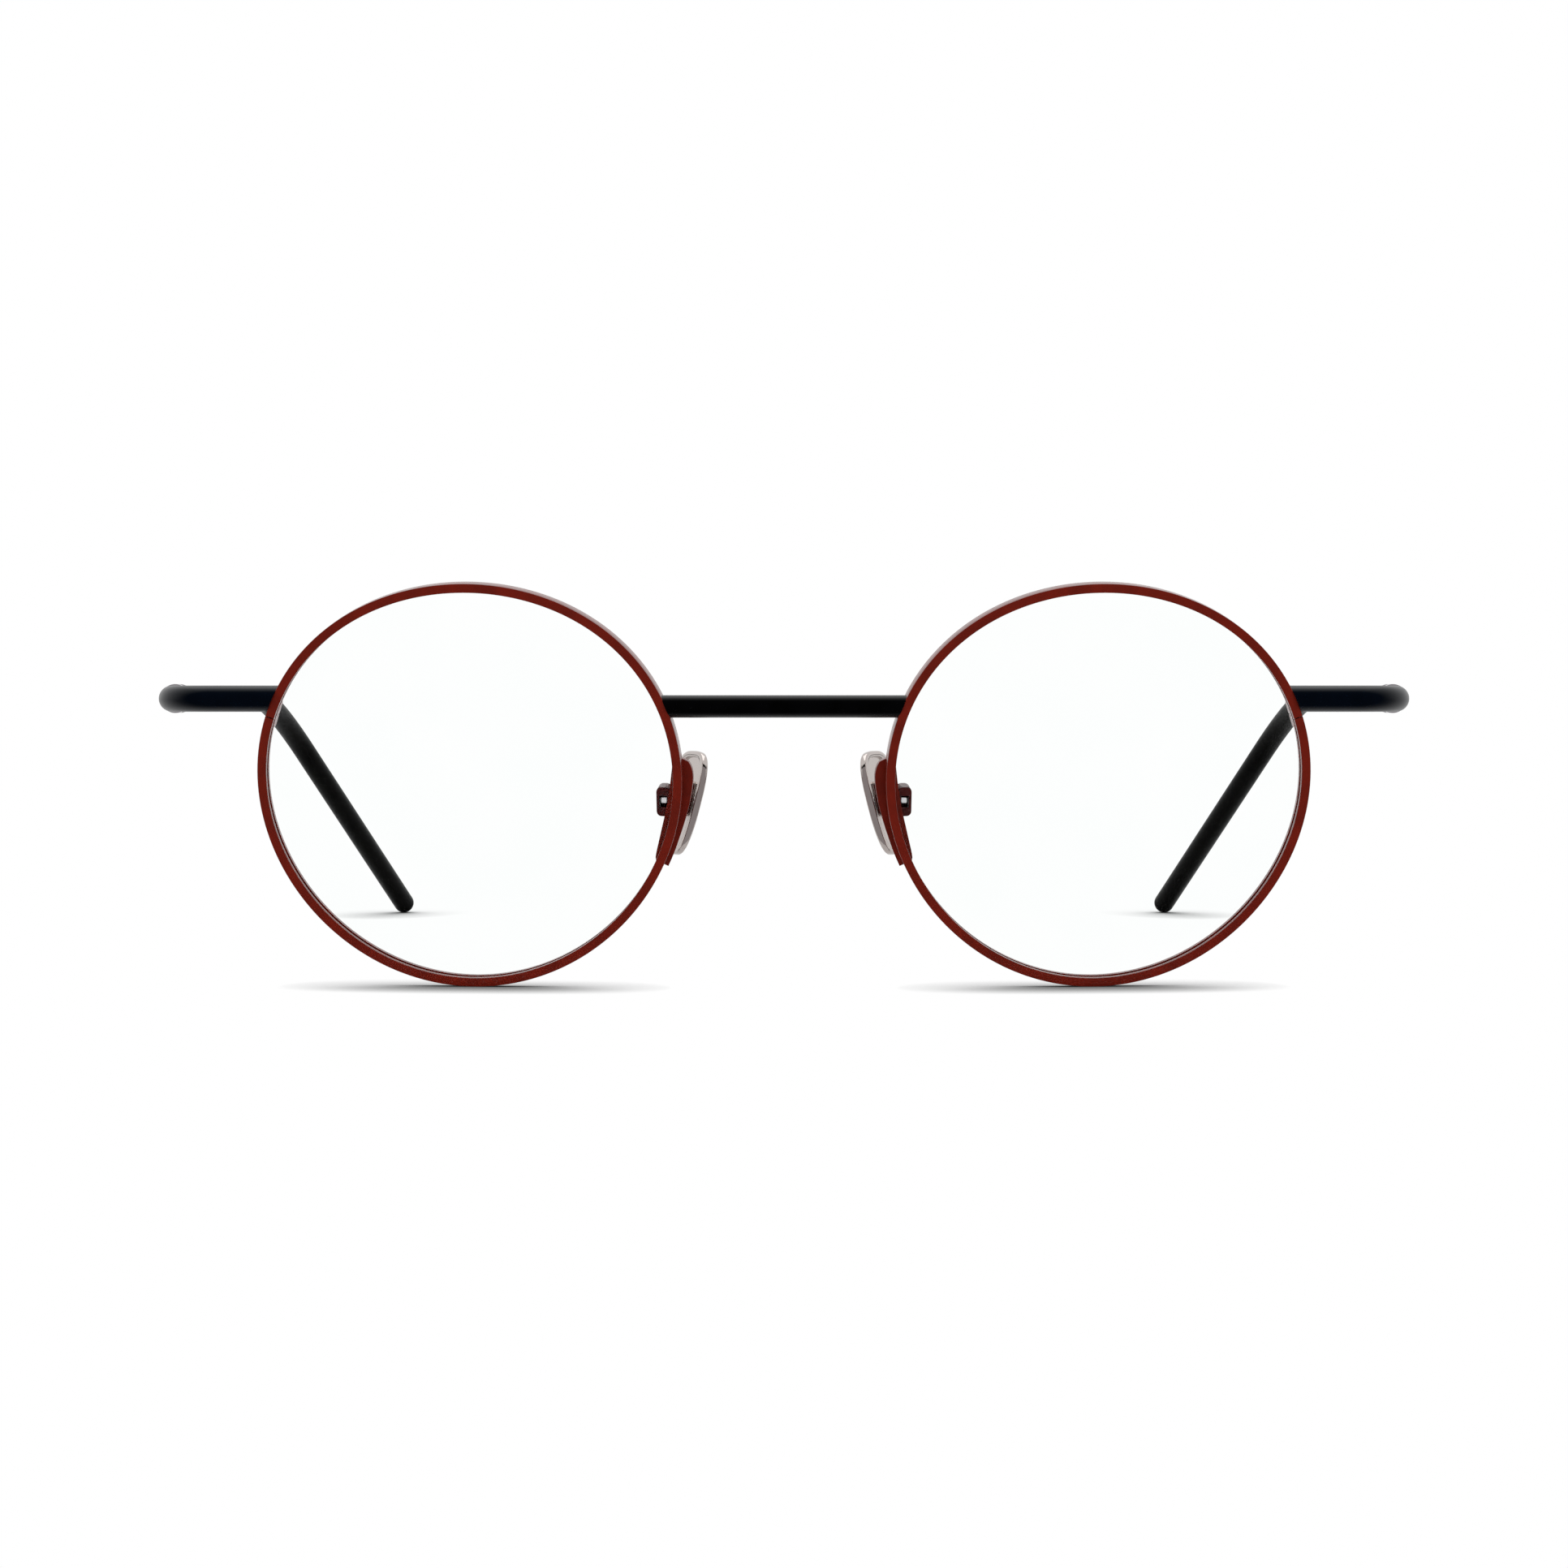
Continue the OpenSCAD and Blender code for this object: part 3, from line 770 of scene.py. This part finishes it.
@dataclass
class Rim:
    """A painted wire with a lens groove and the split that its lock closes."""

    steps: int = 192
    edge_round: float = 0.1
    edge_steps: int = 4
    edge_drift: float = 0.3
    split_w: float = 0.12
    blade_reach: float = 4.0
    blade_depth: float = 6.0
    lock_below: float = 2.25

    def profile(self) -> list[tuple[float, float]]:
        """Draws the wire's section.

        Returns:
            Its corners as growth and depth, outside edge first.
        """
        d, half, slot = DRAWING, DRAWING.rim_d / 2, DRAWING.groove_w / 2
        return [
            (d.rim_out, -half), (d.rim_out, half), (d.rim_in, half), (d.rim_in, slot),
            (0.0, slot), (0.0, -slot), (d.rim_in, -slot), (d.rim_in, -half),
        ]

    def lock_angle(self) -> float:
        """Angle of the split up from the rim's outer side, in degrees."""
        return math.degrees(math.asin((DRAWING.arm_w - self.lock_below) / DRAWING.lens_r))

    def build(self, side: Side, finishes: Finishes) -> None:
        """Models and dresses one rim.

        Args:
            side: The side that it's on.
            finishes: The materials.
        """
        wire = loft([DRAWING.ring(grow, y, self.steps) for grow, y in self.profile()], closed=True)
        half = DRAWING.rim_d / 2
        edit(wire)
        choose_edges(wire, lambda p: abs(abs(p.y) - half) < SAME_PLACE)
        self.keep_loops(wire)
        bpy.ops.mesh.bevel(offset=self.edge_round, segments=self.edge_steps, affect="EDGES")
        finish_mesh()
        carve(wire, self.blade())
        place(wire, side.mirror @ DRAWING.rim())
        dress(wire, f"{side.word}_rim_wire", "front", finishes.rim, [f"{side.word}_rim"])

    def blade(self) -> bpy.types.Object:
        """Makes the thin block that cuts the split through the wire.

        Returns:
            The block, in the rim's own axes.
        """
        deselect()
        bpy.ops.mesh.primitive_cube_add(size=1)
        blade = bpy.context.object
        turn = Matrix.Rotation(-math.radians(self.lock_angle()), 4, "Y")
        size = Matrix.Diagonal((self.blade_reach, self.blade_depth, self.split_w, 1.0))
        blade.matrix_world = turn @ Matrix.Translation((DRAWING.lens_r, 0, 0)) @ size
        bpy.context.view_layer.update()
        return blade

    def keep_loops(self, wire: bpy.types.Object) -> None:
        """Drops from the selection the edges that cross the wire and don't run along it.

        Args:
            wire: The wire, in edit mode.
        """
        mesh = bmesh.from_edit_mesh(wire.data)
        for edge in mesh.edges:
            if edge.select:
                a, b = edge.verts
                flat = abs(a.co.y - b.co.y) < SAME_PLACE
                drift = abs(math.hypot(a.co.x, a.co.z) - math.hypot(b.co.x, b.co.z))
                edge.select_set(flat and drift < self.edge_drift)
        bmesh.update_edit_mesh(wire.data)


@dataclass
class Lens:
    """A clear meniscus whose thin edge fills the rim's groove."""

    steps: int = 128
    curve_r: float = 110.0
    thickness: float = 1.5
    bite: float = 0.015
    shares: tuple[float, ...] = (0.93, 0.84, 0.72, 0.58, 0.42, 0.26, 0.12, 0.02)

    def surface_y(self, r: float, side_of: int) -> float:
        """Place of the front surface at -1, or of the back one at 1, at a radius."""
        edge = math.sqrt(self.curve_r**2 - DRAWING.lens_r**2)
        return edge - math.sqrt(self.curve_r**2 - r * r) + side_of * self.thickness / 2

    def half(self, side_of: int) -> list[list[Vector]]:
        """Rings from the lens's edge, which bites a little into the rim, to its middle over one surface.

        Args:
            side_of: -1 for the front surface, 1 for the back one.

        Returns:
            The rings, the one at the edge first.
        """
        inner = DRAWING.rim_in + self.bite
        r = DRAWING.lens_r + inner
        rings = [DRAWING.ring(inner, side_of * (DRAWING.groove_w / 2 + self.bite), self.steps)]
        rings.append(DRAWING.ring(inner, self.surface_y(r, side_of), self.steps))
        flat = DRAWING.ring(inner, 0, self.steps)
        for share in self.shares:
            y = self.surface_y(r * share, side_of)
            rings.append([Vector((p.x * share, y, p.z * share)) for p in flat])
        return rings

    def build(self, side: Side, finishes: Finishes) -> None:
        """Models and dresses one lens.

        Args:
            side: The side that it's on.
            finishes: The materials.
        """
        y = DRAWING.groove_w / 2 + self.bite
        edge = [DRAWING.ring(self.bite, -y, self.steps), DRAWING.ring(self.bite, y, self.steps)]
        glass = loft(self.half(-1)[::-1] + edge + self.half(1))
        place(glass, side.mirror @ DRAWING.rim())
        dress(glass, f"{side.word}_clear_lens", "front", finishes.lens, [f"{side.word}_lens"])


@dataclass
class Arm:
    """A round bar or tube that is drawn along straights and bends."""

    radius: float = DRAWING.arm_d / 2 - ARM_INSET
    steps: int = 64

    def start(self, at: Point, turn: Point) -> bpy.types.Object:
        """Adds the circle that the bar is drawn from, filled and ready to extrude.

        Args:
            at: The circle's centre.
            turn: Its turn from the XY plane, as Euler angles.

        Returns:
            The circle, in edit mode.
        """
        deselect()
        bpy.ops.mesh.primitive_circle_add(
            vertices=self.steps, radius=self.radius, fill_type="NGON", location=at, rotation=turn
        )
        bar = bpy.context.object
        bpy.ops.object.transform_apply(location=True, rotation=True, scale=True)
        edit(bar)
        return bar

    @staticmethod
    def draw(way: Point) -> None:
        """Extrudes the selected end by a distance."""
        bpy.ops.mesh.extrude_region_move(TRANSFORM_OT_translate={"value": way})

    @staticmethod
    def bend(degrees: float, centre: Point, axis: Point, steps: int = 24) -> None:
        """Spins the selected end round a centre."""
        bpy.ops.mesh.spin(steps=steps, angle=-math.radians(degrees), center=centre, axis=axis)

    def round_off(self, centre: Vector, way: Vector, steps: int = 10) -> None:
        """Closes the selected end with half a ball.

        Args:
            centre: The ball's centre, which is the end circle's.
            way: The direction in which the end points.
            steps: The rings of the half ball.
        """
        for i in range(1, steps):
            before, now = math.radians(90 * (i - 1) / steps), math.radians(90 * i / steps)
            self.draw(tuple(way * self.radius * (math.sin(now) - math.sin(before))))
            share = math.cos(now) / math.cos(before)
            middle = centre + way * self.radius * math.sin(now)
            bpy.ops.transform.resize(value=(share, share, share), center_override=middle)


@dataclass
class Bridge:
    """The straight bar between the rims."""

    bar: Arm = field(default_factory=lambda: Arm(radius=DRAWING.bridge_d / 2))
    sink: float = 0.06

    def build(self, finishes: Finishes) -> None:
        """Models and dresses the bridge.

        Args:
            finishes: The materials.
        """
        height = DRAWING.bridge_up / math.cos(math.radians(DRAWING.tilt))
        reach = DRAWING.reach(height, DRAWING.rim_out)
        y = DRAWING.plane_y(-reach, height)
        half = DRAWING.lens_pitch / 4
        bar = self.bar.start((-half, y, DRAWING.lens_z + DRAWING.bridge_up), (0, math.pi / 2, 0))
        self.bar.draw((2 * half, 0, 0))
        finish_mesh()
        grow = DRAWING.rim_out - self.sink
        angle = math.pi - math.asin(height / (DRAWING.lens_r + grow))
        on_rim, way = DRAWING.cut(angle, grow)
        for mirror in (1, -1):
            trim(bar, Vector((mirror * on_rim.x, on_rim.y, on_rim.z)), Vector((mirror * way.x, way.y, way.z)))
        place(bar, DRAWING.front())
        dress(bar, "bridge_rod", "front", finishes.bridge, ["bridge_bar"])


@dataclass
class Endpiece:
    """The tube from the rim's outer side round the elbow to the hinge."""

    tube: Arm = field(default_factory=Arm)
    sink: float = 0.06
    end_round: float = 0.12

    def build(self, side: Side, finishes: Finishes) -> None:
        """Models and dresses one endpiece.

        Args:
            side: The side that it's on.
            finishes: The materials.
        """
        d = DRAWING
        a = math.radians(d.elbow_turn)
        elbow_x = d.hinge_pitch / 2 - d.elbow_r * math.sin(a) - d.elbow_run * math.cos(a)
        start_x = d.lens_pitch / 2 + d.lens_r / 2
        bar = self.tube.start((start_x, d.arm_y, d.arm_z), (0, math.pi / 2, 0))
        self.tube.draw((elbow_x - start_x, 0, 0))
        self.tube.bend(d.elbow_turn, (elbow_x, d.arm_y + d.elbow_r, d.arm_z), (0, 0, 1))
        self.tube.draw((d.shank_len * math.cos(a), d.shank_len * math.sin(a), 0))
        finish_mesh()
        round_edges(bar, self.end_round)
        grow = d.rim_out - self.sink
        trim(bar, *d.cut(math.asin(d.arm_w / (d.lens_r + grow)), grow))
        place(bar, side.mirror @ d.front())
        name, node = f"{side.word}_endpiece_arm", f"{side.word}_endpiece_tube"
        dress(bar, name, "front", finishes.endpiece, [node])


@dataclass
class Temple:
    """The tube behind the hinge and the sleeve that bends down behind the ear."""

    tube: Arm = field(default_factory=Arm)
    tip_from: float = 58.0
    bend_at: float = 81.5
    bend_angle: float = 40.0
    bend_lean: float = 25.5
    bend_r: float = 36.0
    end_round: float = 0.12
    across: Point = (-math.pi / 2, 0, 0)

    def build(self, side: Side, finishes: Finishes) -> None:
        """Models and dresses one temple.

        Args:
            side: The side that it's on.
            finishes: The materials.
        """
        body = f"{side.word}_temple"
        straight = self.straight()
        place(straight, side.mirror @ DRAWING.hinge())
        dress(straight, body + "_arm", body, finishes.bridge, [body + "_tube"])
        sleeve = self.sleeve()
        lean = Matrix.Rotation(math.radians(self.bend_lean), 4, "Y")
        place(sleeve, side.mirror @ DRAWING.hinge() @ lean)
        dress(sleeve, body + "_sleeve", body, finishes.tip, [body + "_tip"])

    def straight(self) -> bpy.types.Object:
        """Models the tube from the hinge to the tip.

        Returns:
            The tube, in the open temple's axes.
        """
        tube = self.tube.start((0, DRAWING.collar_len, 0), self.across)
        self.tube.draw((0, self.tip_from - DRAWING.collar_len, 0))
        finish_mesh()
        round_edges(tube, self.end_round)
        return tube

    def sleeve(self) -> bpy.types.Object:
        """Models the tip, whose round end rests on the floor once it leans inwards.

        Returns:
            The tip, before it leans.
        """
        a = math.radians(self.bend_angle)
        start = self.bend_at - self.bend_r * math.tan(a / 2)
        fall = self.bend_r * (1 - math.cos(a))
        height = (DRAWING.arm_z - self.tube.radius) / math.cos(math.radians(self.bend_lean))
        drop = (height - fall) / math.sin(a)
        way = Vector((0, math.cos(a), -math.sin(a)))
        sleeve = self.tube.start((0, self.tip_from, 0), self.across)
        self.tube.draw((0, start - self.tip_from, 0))
        self.tube.bend(self.bend_angle, (0, start, -self.bend_r), (-1, 0, 0))
        self.tube.draw(tuple(way * drop))
        self.tube.round_off(Vector((0, start + self.bend_r * math.sin(a), -fall)) + way * drop, way)
        finish_mesh()
        round_edges(sleeve, self.end_round)
        return sleeve


@dataclass
class NosePad:
    """A polished metal pad with a raised edge, a recess and the boss for its stem."""

    steps: int = 96
    length: float = 12.0
    width: float = 7.3
    thickness: float = 1.0
    taper: float = 0.2
    fill: float = 0.6
    curve_r: float = 70.0
    edge_w: float = 0.7
    recess: float = 0.35
    edge_round: float = 0.2
    boss_at: tuple[float, float] = (-1.203, 0.496)
    boss_size: tuple[float, float] = (1.6, 4.0)
    boss_out: float = 0.5
    boss_corner: float = 0.45
    corner_steps: int = 6
    boss_round: float = 0.12
    boss_sink: float = 0.05
    dome_shares: tuple[float, ...] = (0.03, 0.2, 0.4, 0.6, 0.8, 0.92, 1.0)
    floor_shares: tuple[float, ...] = (1.0, 0.985, 0.9, 0.6, 0.3, 0.04)
    quarter: tuple[int, ...] = (0, 30, 60, 90)

    def ring(self, inset: float, share: float, x: Callable[[float, float], float]) -> list[Vector]:
        """Points round the pad's inset outline.

        Args:
            inset: How far the ring lies inside the outline.
            share: The scale of the ring towards the pad's middle.
            x: Gives the ring's place through the thickness from its width and length places.

        Returns:
            The ring's points.
        """
        points = []
        for i in range(self.steps):
            a = 2 * math.pi * i / self.steps
            across, along = self.fuller(math.cos(a)), self.fuller(math.sin(a))
            y = (self.width / 2 - inset) * across * (1 + self.taper * along) * share
            z = (self.length / 2 - inset) * along * share
            points.append(Vector((x(y, z), y, z)))
        return points

    def fuller(self, part: float) -> float:
        """Pushes a number between -1 and 1 outwards, which fills out the oval's corners."""
        return math.copysign(abs(part) ** self.fill, part)

    def nose_x(self, y: float, z: float) -> float:
        """Place of the domed side that touches the nose."""
        return self.curve_r - self.thickness / 2 - math.sqrt(self.curve_r**2 - y * y - z * z)

    def build(self, side: Side, finishes: Finishes) -> None:
        """Models and dresses one nose pad.

        Args:
            side: The side that it's on.
            finishes: The materials.
        """
        shell = loft(self.rings())
        place(shell, side.mirror @ DRAWING.pad())
        body, node = f"{side.word}_pad", f"{side.word}_nose_pad"
        dress(shell, f"{side.word}_metal_pad", body, finishes.pad, [node])
        boss = self.boss()
        place(boss, side.mirror @ DRAWING.pad())
        dress(boss, body + "_boss", body, finishes.pad, [])

    def curl(self, degrees: float) -> tuple[float, float]:
        """How far a rounded edge still is from each of its two faces, at an angle along it."""
        a = math.radians(degrees)
        return self.edge_round * (1 - math.sin(a)), self.edge_round * (1 - math.cos(a))

    def rings(self) -> list[list[Vector]]:
        """Rings over the domed side, the rounded edge, the raised rim and the recess's floor.

        Returns:
            The rings, from the middle of the domed side to the middle of the recess.
        """
        top = self.thickness / 2
        rings = [self.ring(self.edge_round, share, self.nose_x) for share in self.dome_shares]
        for degrees in self.quarter[1:]:
            inset, rise = self.curl(degrees)
            rings.append(self.ring(inset, 1, lambda y, z, rise=rise: self.nose_x(y, z) + rise))
        for degrees in self.quarter:
            drop, inset = self.curl(degrees)
            rings.append(self.ring(inset, 1, lambda y, z, drop=drop: top - drop))
        for degrees in self.quarter:
            inset, drop = self.curl(degrees)
            rings.append(self.ring(self.edge_w - inset, 1, lambda y, z, drop=drop: top - drop))
        for share in self.floor_shares:
            rings.append(self.ring(self.edge_w, share, lambda y, z: top - self.recess))
        return rings

    def boss(self) -> bpy.types.Object:
        """Models the boss that holds the stem, which sinks a little into the recess's floor.

        Returns:
            The boss, in the pad's own axes.
        """
        floor, top = self.thickness / 2 - self.recess, self.thickness / 2 + self.boss_out
        (y, z), (width, length) = self.boss_at, self.boss_size
        deselect()
        bpy.ops.mesh.primitive_cube_add(size=1)
        boss = bpy.context.object
        size = Matrix.Diagonal((top - floor + 2 * self.boss_sink, width, length, 1.0))
        boss.matrix_world = Matrix.Translation(((top + floor) / 2, y, z)) @ size
        bpy.ops.object.transform_apply(location=True, rotation=True, scale=True)
        edit(boss)
        corner = Vector((width / 2, length / 2))
        choose_edges(boss, lambda p: (Vector((abs(p.y - y), abs(p.z - z))) - corner).length < SAME_PLACE)
        bpy.ops.mesh.bevel(offset=self.boss_corner, segments=self.corner_steps, affect="EDGES")
        finish_mesh()
        round_edges(boss, self.boss_round)
        return boss


@dataclass
class SmallParts:
    """The locks, hinges, pad arms and screws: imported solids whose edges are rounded."""

    rounding: dict[str, float] = field(
        default_factory=lambda: {
            "upper_rim_lock": 0.12,
            "lower_rim_lock": 0.12,
            "rim_lock_screw": 0.05,
            "hinge_front_leaf": 0.06,
            "hinge_temple_leaf": 0.06,
            "hinge_screw": 0.05,
            "pad_plate": 0.2,
            "pad_box": 0.1,
            "pad_screw": 0.04,
            "pad_stem": 0.04,
            "temple_core": 0.02,
        }
    )

    def build(self, side: Side, finishes: Finishes) -> None:
        """Rounds and dresses all the small parts of one side.

        Args:
            side: The side that they're on.
            finishes: The materials.
        """
        slots = {s["node"]: s["material_slot"] for s in frame["record"]["subparts"]}
        bodies = {n: b for b, names in frame["record"]["behaviour"]["bodies"].items() for n in names}
        materials = {"rim_paint": finishes.rim, "box_paint": finishes.box}
        for part, width in self.rounding.items():
            node = f"{side.word}_{part}"
            piece = softened(node, width)
            finish = materials.get(slots[node], finishes.steel)
            dress(piece, node + "_piece", bodies[node], finish, [node])


# The studio


@dataclass
class Studio:
    """A pale floor, soft light from above and behind, and the camera."""

    camera_at: Point = (0.0, -443.84, 33.44)
    camera_pitch: float = 1.58
    lens_mm: float = 78.17
    sensor_mm: float = 36.0
    clip: tuple[float, float] = (10.0, 20000.0)
    floor_half: float = 1600.0
    floor_tone: str = "#f4f4f4"
    # Painted shadow on the floor: how far the darkening reaches, how finely it is sampled and how deep it
    # goes
    shade_reach: float = 9.0
    shade_samples: int = 16
    shade_depth: float = 2.0
    ambient: float = 0.75
    flag_tone: str = "#ada9ab"
    flag_reach: tuple[float, float] = (-69.5, -420.0)
    flag_height: float = 420.0
    flag_half: float = 700.0
    flag_lift: float = 0.3
    flag_round: float = 60.0
    lamp_at: Point = (0.0, 100.0, 900.0)
    lamp_aim: Point = (0.0, 0.0, 20.0)
    lamp_side: float = 900.0
    lamp_watts: float = 3.0

    def camera(self) -> None:
        """Sets up the camera as the photograph was taken."""
        data = bpy.data.cameras.new("front_camera")
        data.lens, data.sensor_width = self.lens_mm, self.sensor_mm
        data.clip_start, data.clip_end = (end * METRES_PER_MM for end in self.clip)
        camera = bpy.data.objects.new("front_camera", data)
        camera.location = Vector(self.camera_at) * METRES_PER_MM
        camera.rotation_euler = (math.radians(90 - self.camera_pitch), 0, 0)
        bpy.context.scene.collection.objects.link(camera)
        bpy.context.scene.camera = camera

    def floor(self) -> None:
        """Lays the pale floor, which shows a painted shadow under the object."""
        deselect()
        bpy.ops.mesh.primitive_plane_add(size=2 * self.floor_half * METRES_PER_MM)
        floor = bpy.context.object
        floor.name = "studio_floor"
        # White paper: bounces light up to the object; camera and transmission rays see it as an even white
        # glow with a painted shadow under the object, darkened by nearness to it rather than by light
        material, tree = new_material("white_floor")
        paper = add_node(tree, "ShaderNodeBsdfDiffuse", {"Color": linear(self.floor_tone)})
        reach = {"Distance": self.shade_reach * METRES_PER_MM}
        # Painted shadow: the floor's glow is darkened by how close the object is, not by the light that
        # reaches the floor
        near = add_node(tree, "ShaderNodeAmbientOcclusion", reach, samples=self.shade_samples)
        depth = {0: near.outputs["AO"], 1: self.shade_depth}
        shade = add_node(tree, "ShaderNodeMath", depth, operation="POWER")
        painted_shadow_glow = add_node(tree, "ShaderNodeEmission", {"Color": (1, 1, 1, 1), "Strength": shade.outputs[0]})
        light = add_node(tree, "ShaderNodeLightPath")
        rays = {0: light.outputs["Is Camera Ray"], 1: light.outputs["Is Transmission Ray"]}
        seen = add_node(tree, "ShaderNodeMath", rays, operation="MAXIMUM")
        parts = {0: seen.outputs[0], 1: paper.outputs[0], 2: painted_shadow_glow.outputs[0]}
        both = add_node(tree, "ShaderNodeMixShader", parts)
        add_node(tree, "ShaderNodeOutputMaterial", {"Surface": both.outputs[0]})
        floor.data.materials.append(material)

    def sky(self) -> None:
        """Sets a white surround, which lights the object at a plain level."""
        world = bpy.data.worlds.new("white_studio")
        bpy.context.scene.world = world
        world.use_nodes = True
        tree = world.node_tree
        tree.nodes.clear()
        light = add_node(tree, "ShaderNodeLightPath")
        rays = {0: light.outputs["Is Camera Ray"], 1: light.outputs["Is Glossy Ray"]}
        seen = add_node(tree, "ShaderNodeMath", rays, operation="MAXIMUM")
        rays = {0: seen.outputs[0], 1: light.outputs["Is Transmission Ray"]}
        white = add_node(tree, "ShaderNodeMath", rays, operation="MAXIMUM")
        levels = {"Factor": white.outputs[0], 2: self.ambient, 3: 1.0}
        strength = add_node(tree, "ShaderNodeMix", levels, data_type="FLOAT")
        air = {"Color": (1, 1, 1, 1), "Strength": strength.outputs[0]}
        shell = add_node(tree, "ShaderNodeBackground", air)
        add_node(tree, "ShaderNodeOutputWorld", {"Surface": shell.outputs[0]})

    def flag(self) -> None:
        """Stands a grey card on the camera's side, which is seen only in the object's shine."""
        near, far = self.flag_reach
        deselect()
        bpy.ops.mesh.primitive_plane_add(size=1)
        card = bpy.context.object
        card.name = "grey_flag"
        edit(card)
        bpy.ops.transform.resize(value=(2 * self.flag_half, near - far, 1), center_override=(0, 0, 0))
        bpy.ops.transform.translate(value=(0, (near + far) / 2, self.flag_lift))
        choose_edges(card, lambda p: p.y < far + 1)
        bpy.ops.mesh.extrude_region_move(TRANSFORM_OT_translate={"value": (0, 0, self.flag_height)})
        bpy.ops.object.mode_set(mode="OBJECT")
        card.matrix_world = Matrix.Scale(METRES_PER_MM, 4)
        bpy.ops.object.transform_apply(location=True, rotation=True, scale=True)
        round_edges(card, self.flag_round * METRES_PER_MM, segments=6)
        # Grey card: an even grey in the object's shine, which keeps polished parts from going white
        material, tree = new_material("grey_card")
        felt = add_node(tree, "ShaderNodeEmission", {"Color": linear(self.flag_tone)})
        add_node(tree, "ShaderNodeOutputMaterial", {"Surface": felt.outputs[0]})
        card.data.materials.append(material)
        card.visible_camera = card.visible_diffuse = False
        card.visible_shadow = card.visible_transmission = False

    def lamp(self) -> None:
        """Hangs the soft square lamp over the object."""
        data = bpy.data.lights.new("top_softbox", "AREA")
        data.size, data.energy = self.lamp_side * METRES_PER_MM, self.lamp_watts
        lamp = bpy.data.objects.new("top_softbox", data)
        lamp.location = Vector(self.lamp_at) * METRES_PER_MM
        way = Vector(self.lamp_aim) - Vector(self.lamp_at)
        lamp.rotation_euler = way.to_track_quat("-Z", "Y").to_euler()
        bpy.context.scene.collection.objects.link(lamp)

    def build(self) -> None:
        """Sets up the whole studio."""
        self.camera()
        self.floor()
        self.sky()
        self.flag()
        self.lamp()
        bpy.context.scene.view_settings.view_transform = "Standard"


def main() -> None:
    """Builds the pieces in order."""
    logging.basicConfig(level=logging.INFO, format="%(message)s")
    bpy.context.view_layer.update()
    Studio().build()
    finishes = Finishes.mixed()
    Bridge().build(finishes)
    for side in Side:
        Rim().build(side, finishes)
        Lens().build(side, finishes)
        Endpiece().build(side, finishes)
        Temple().build(side, finishes)
        NosePad().build(side, finishes)
        SmallParts().build(side, finishes)


if __name__ == "__main__":
    main()
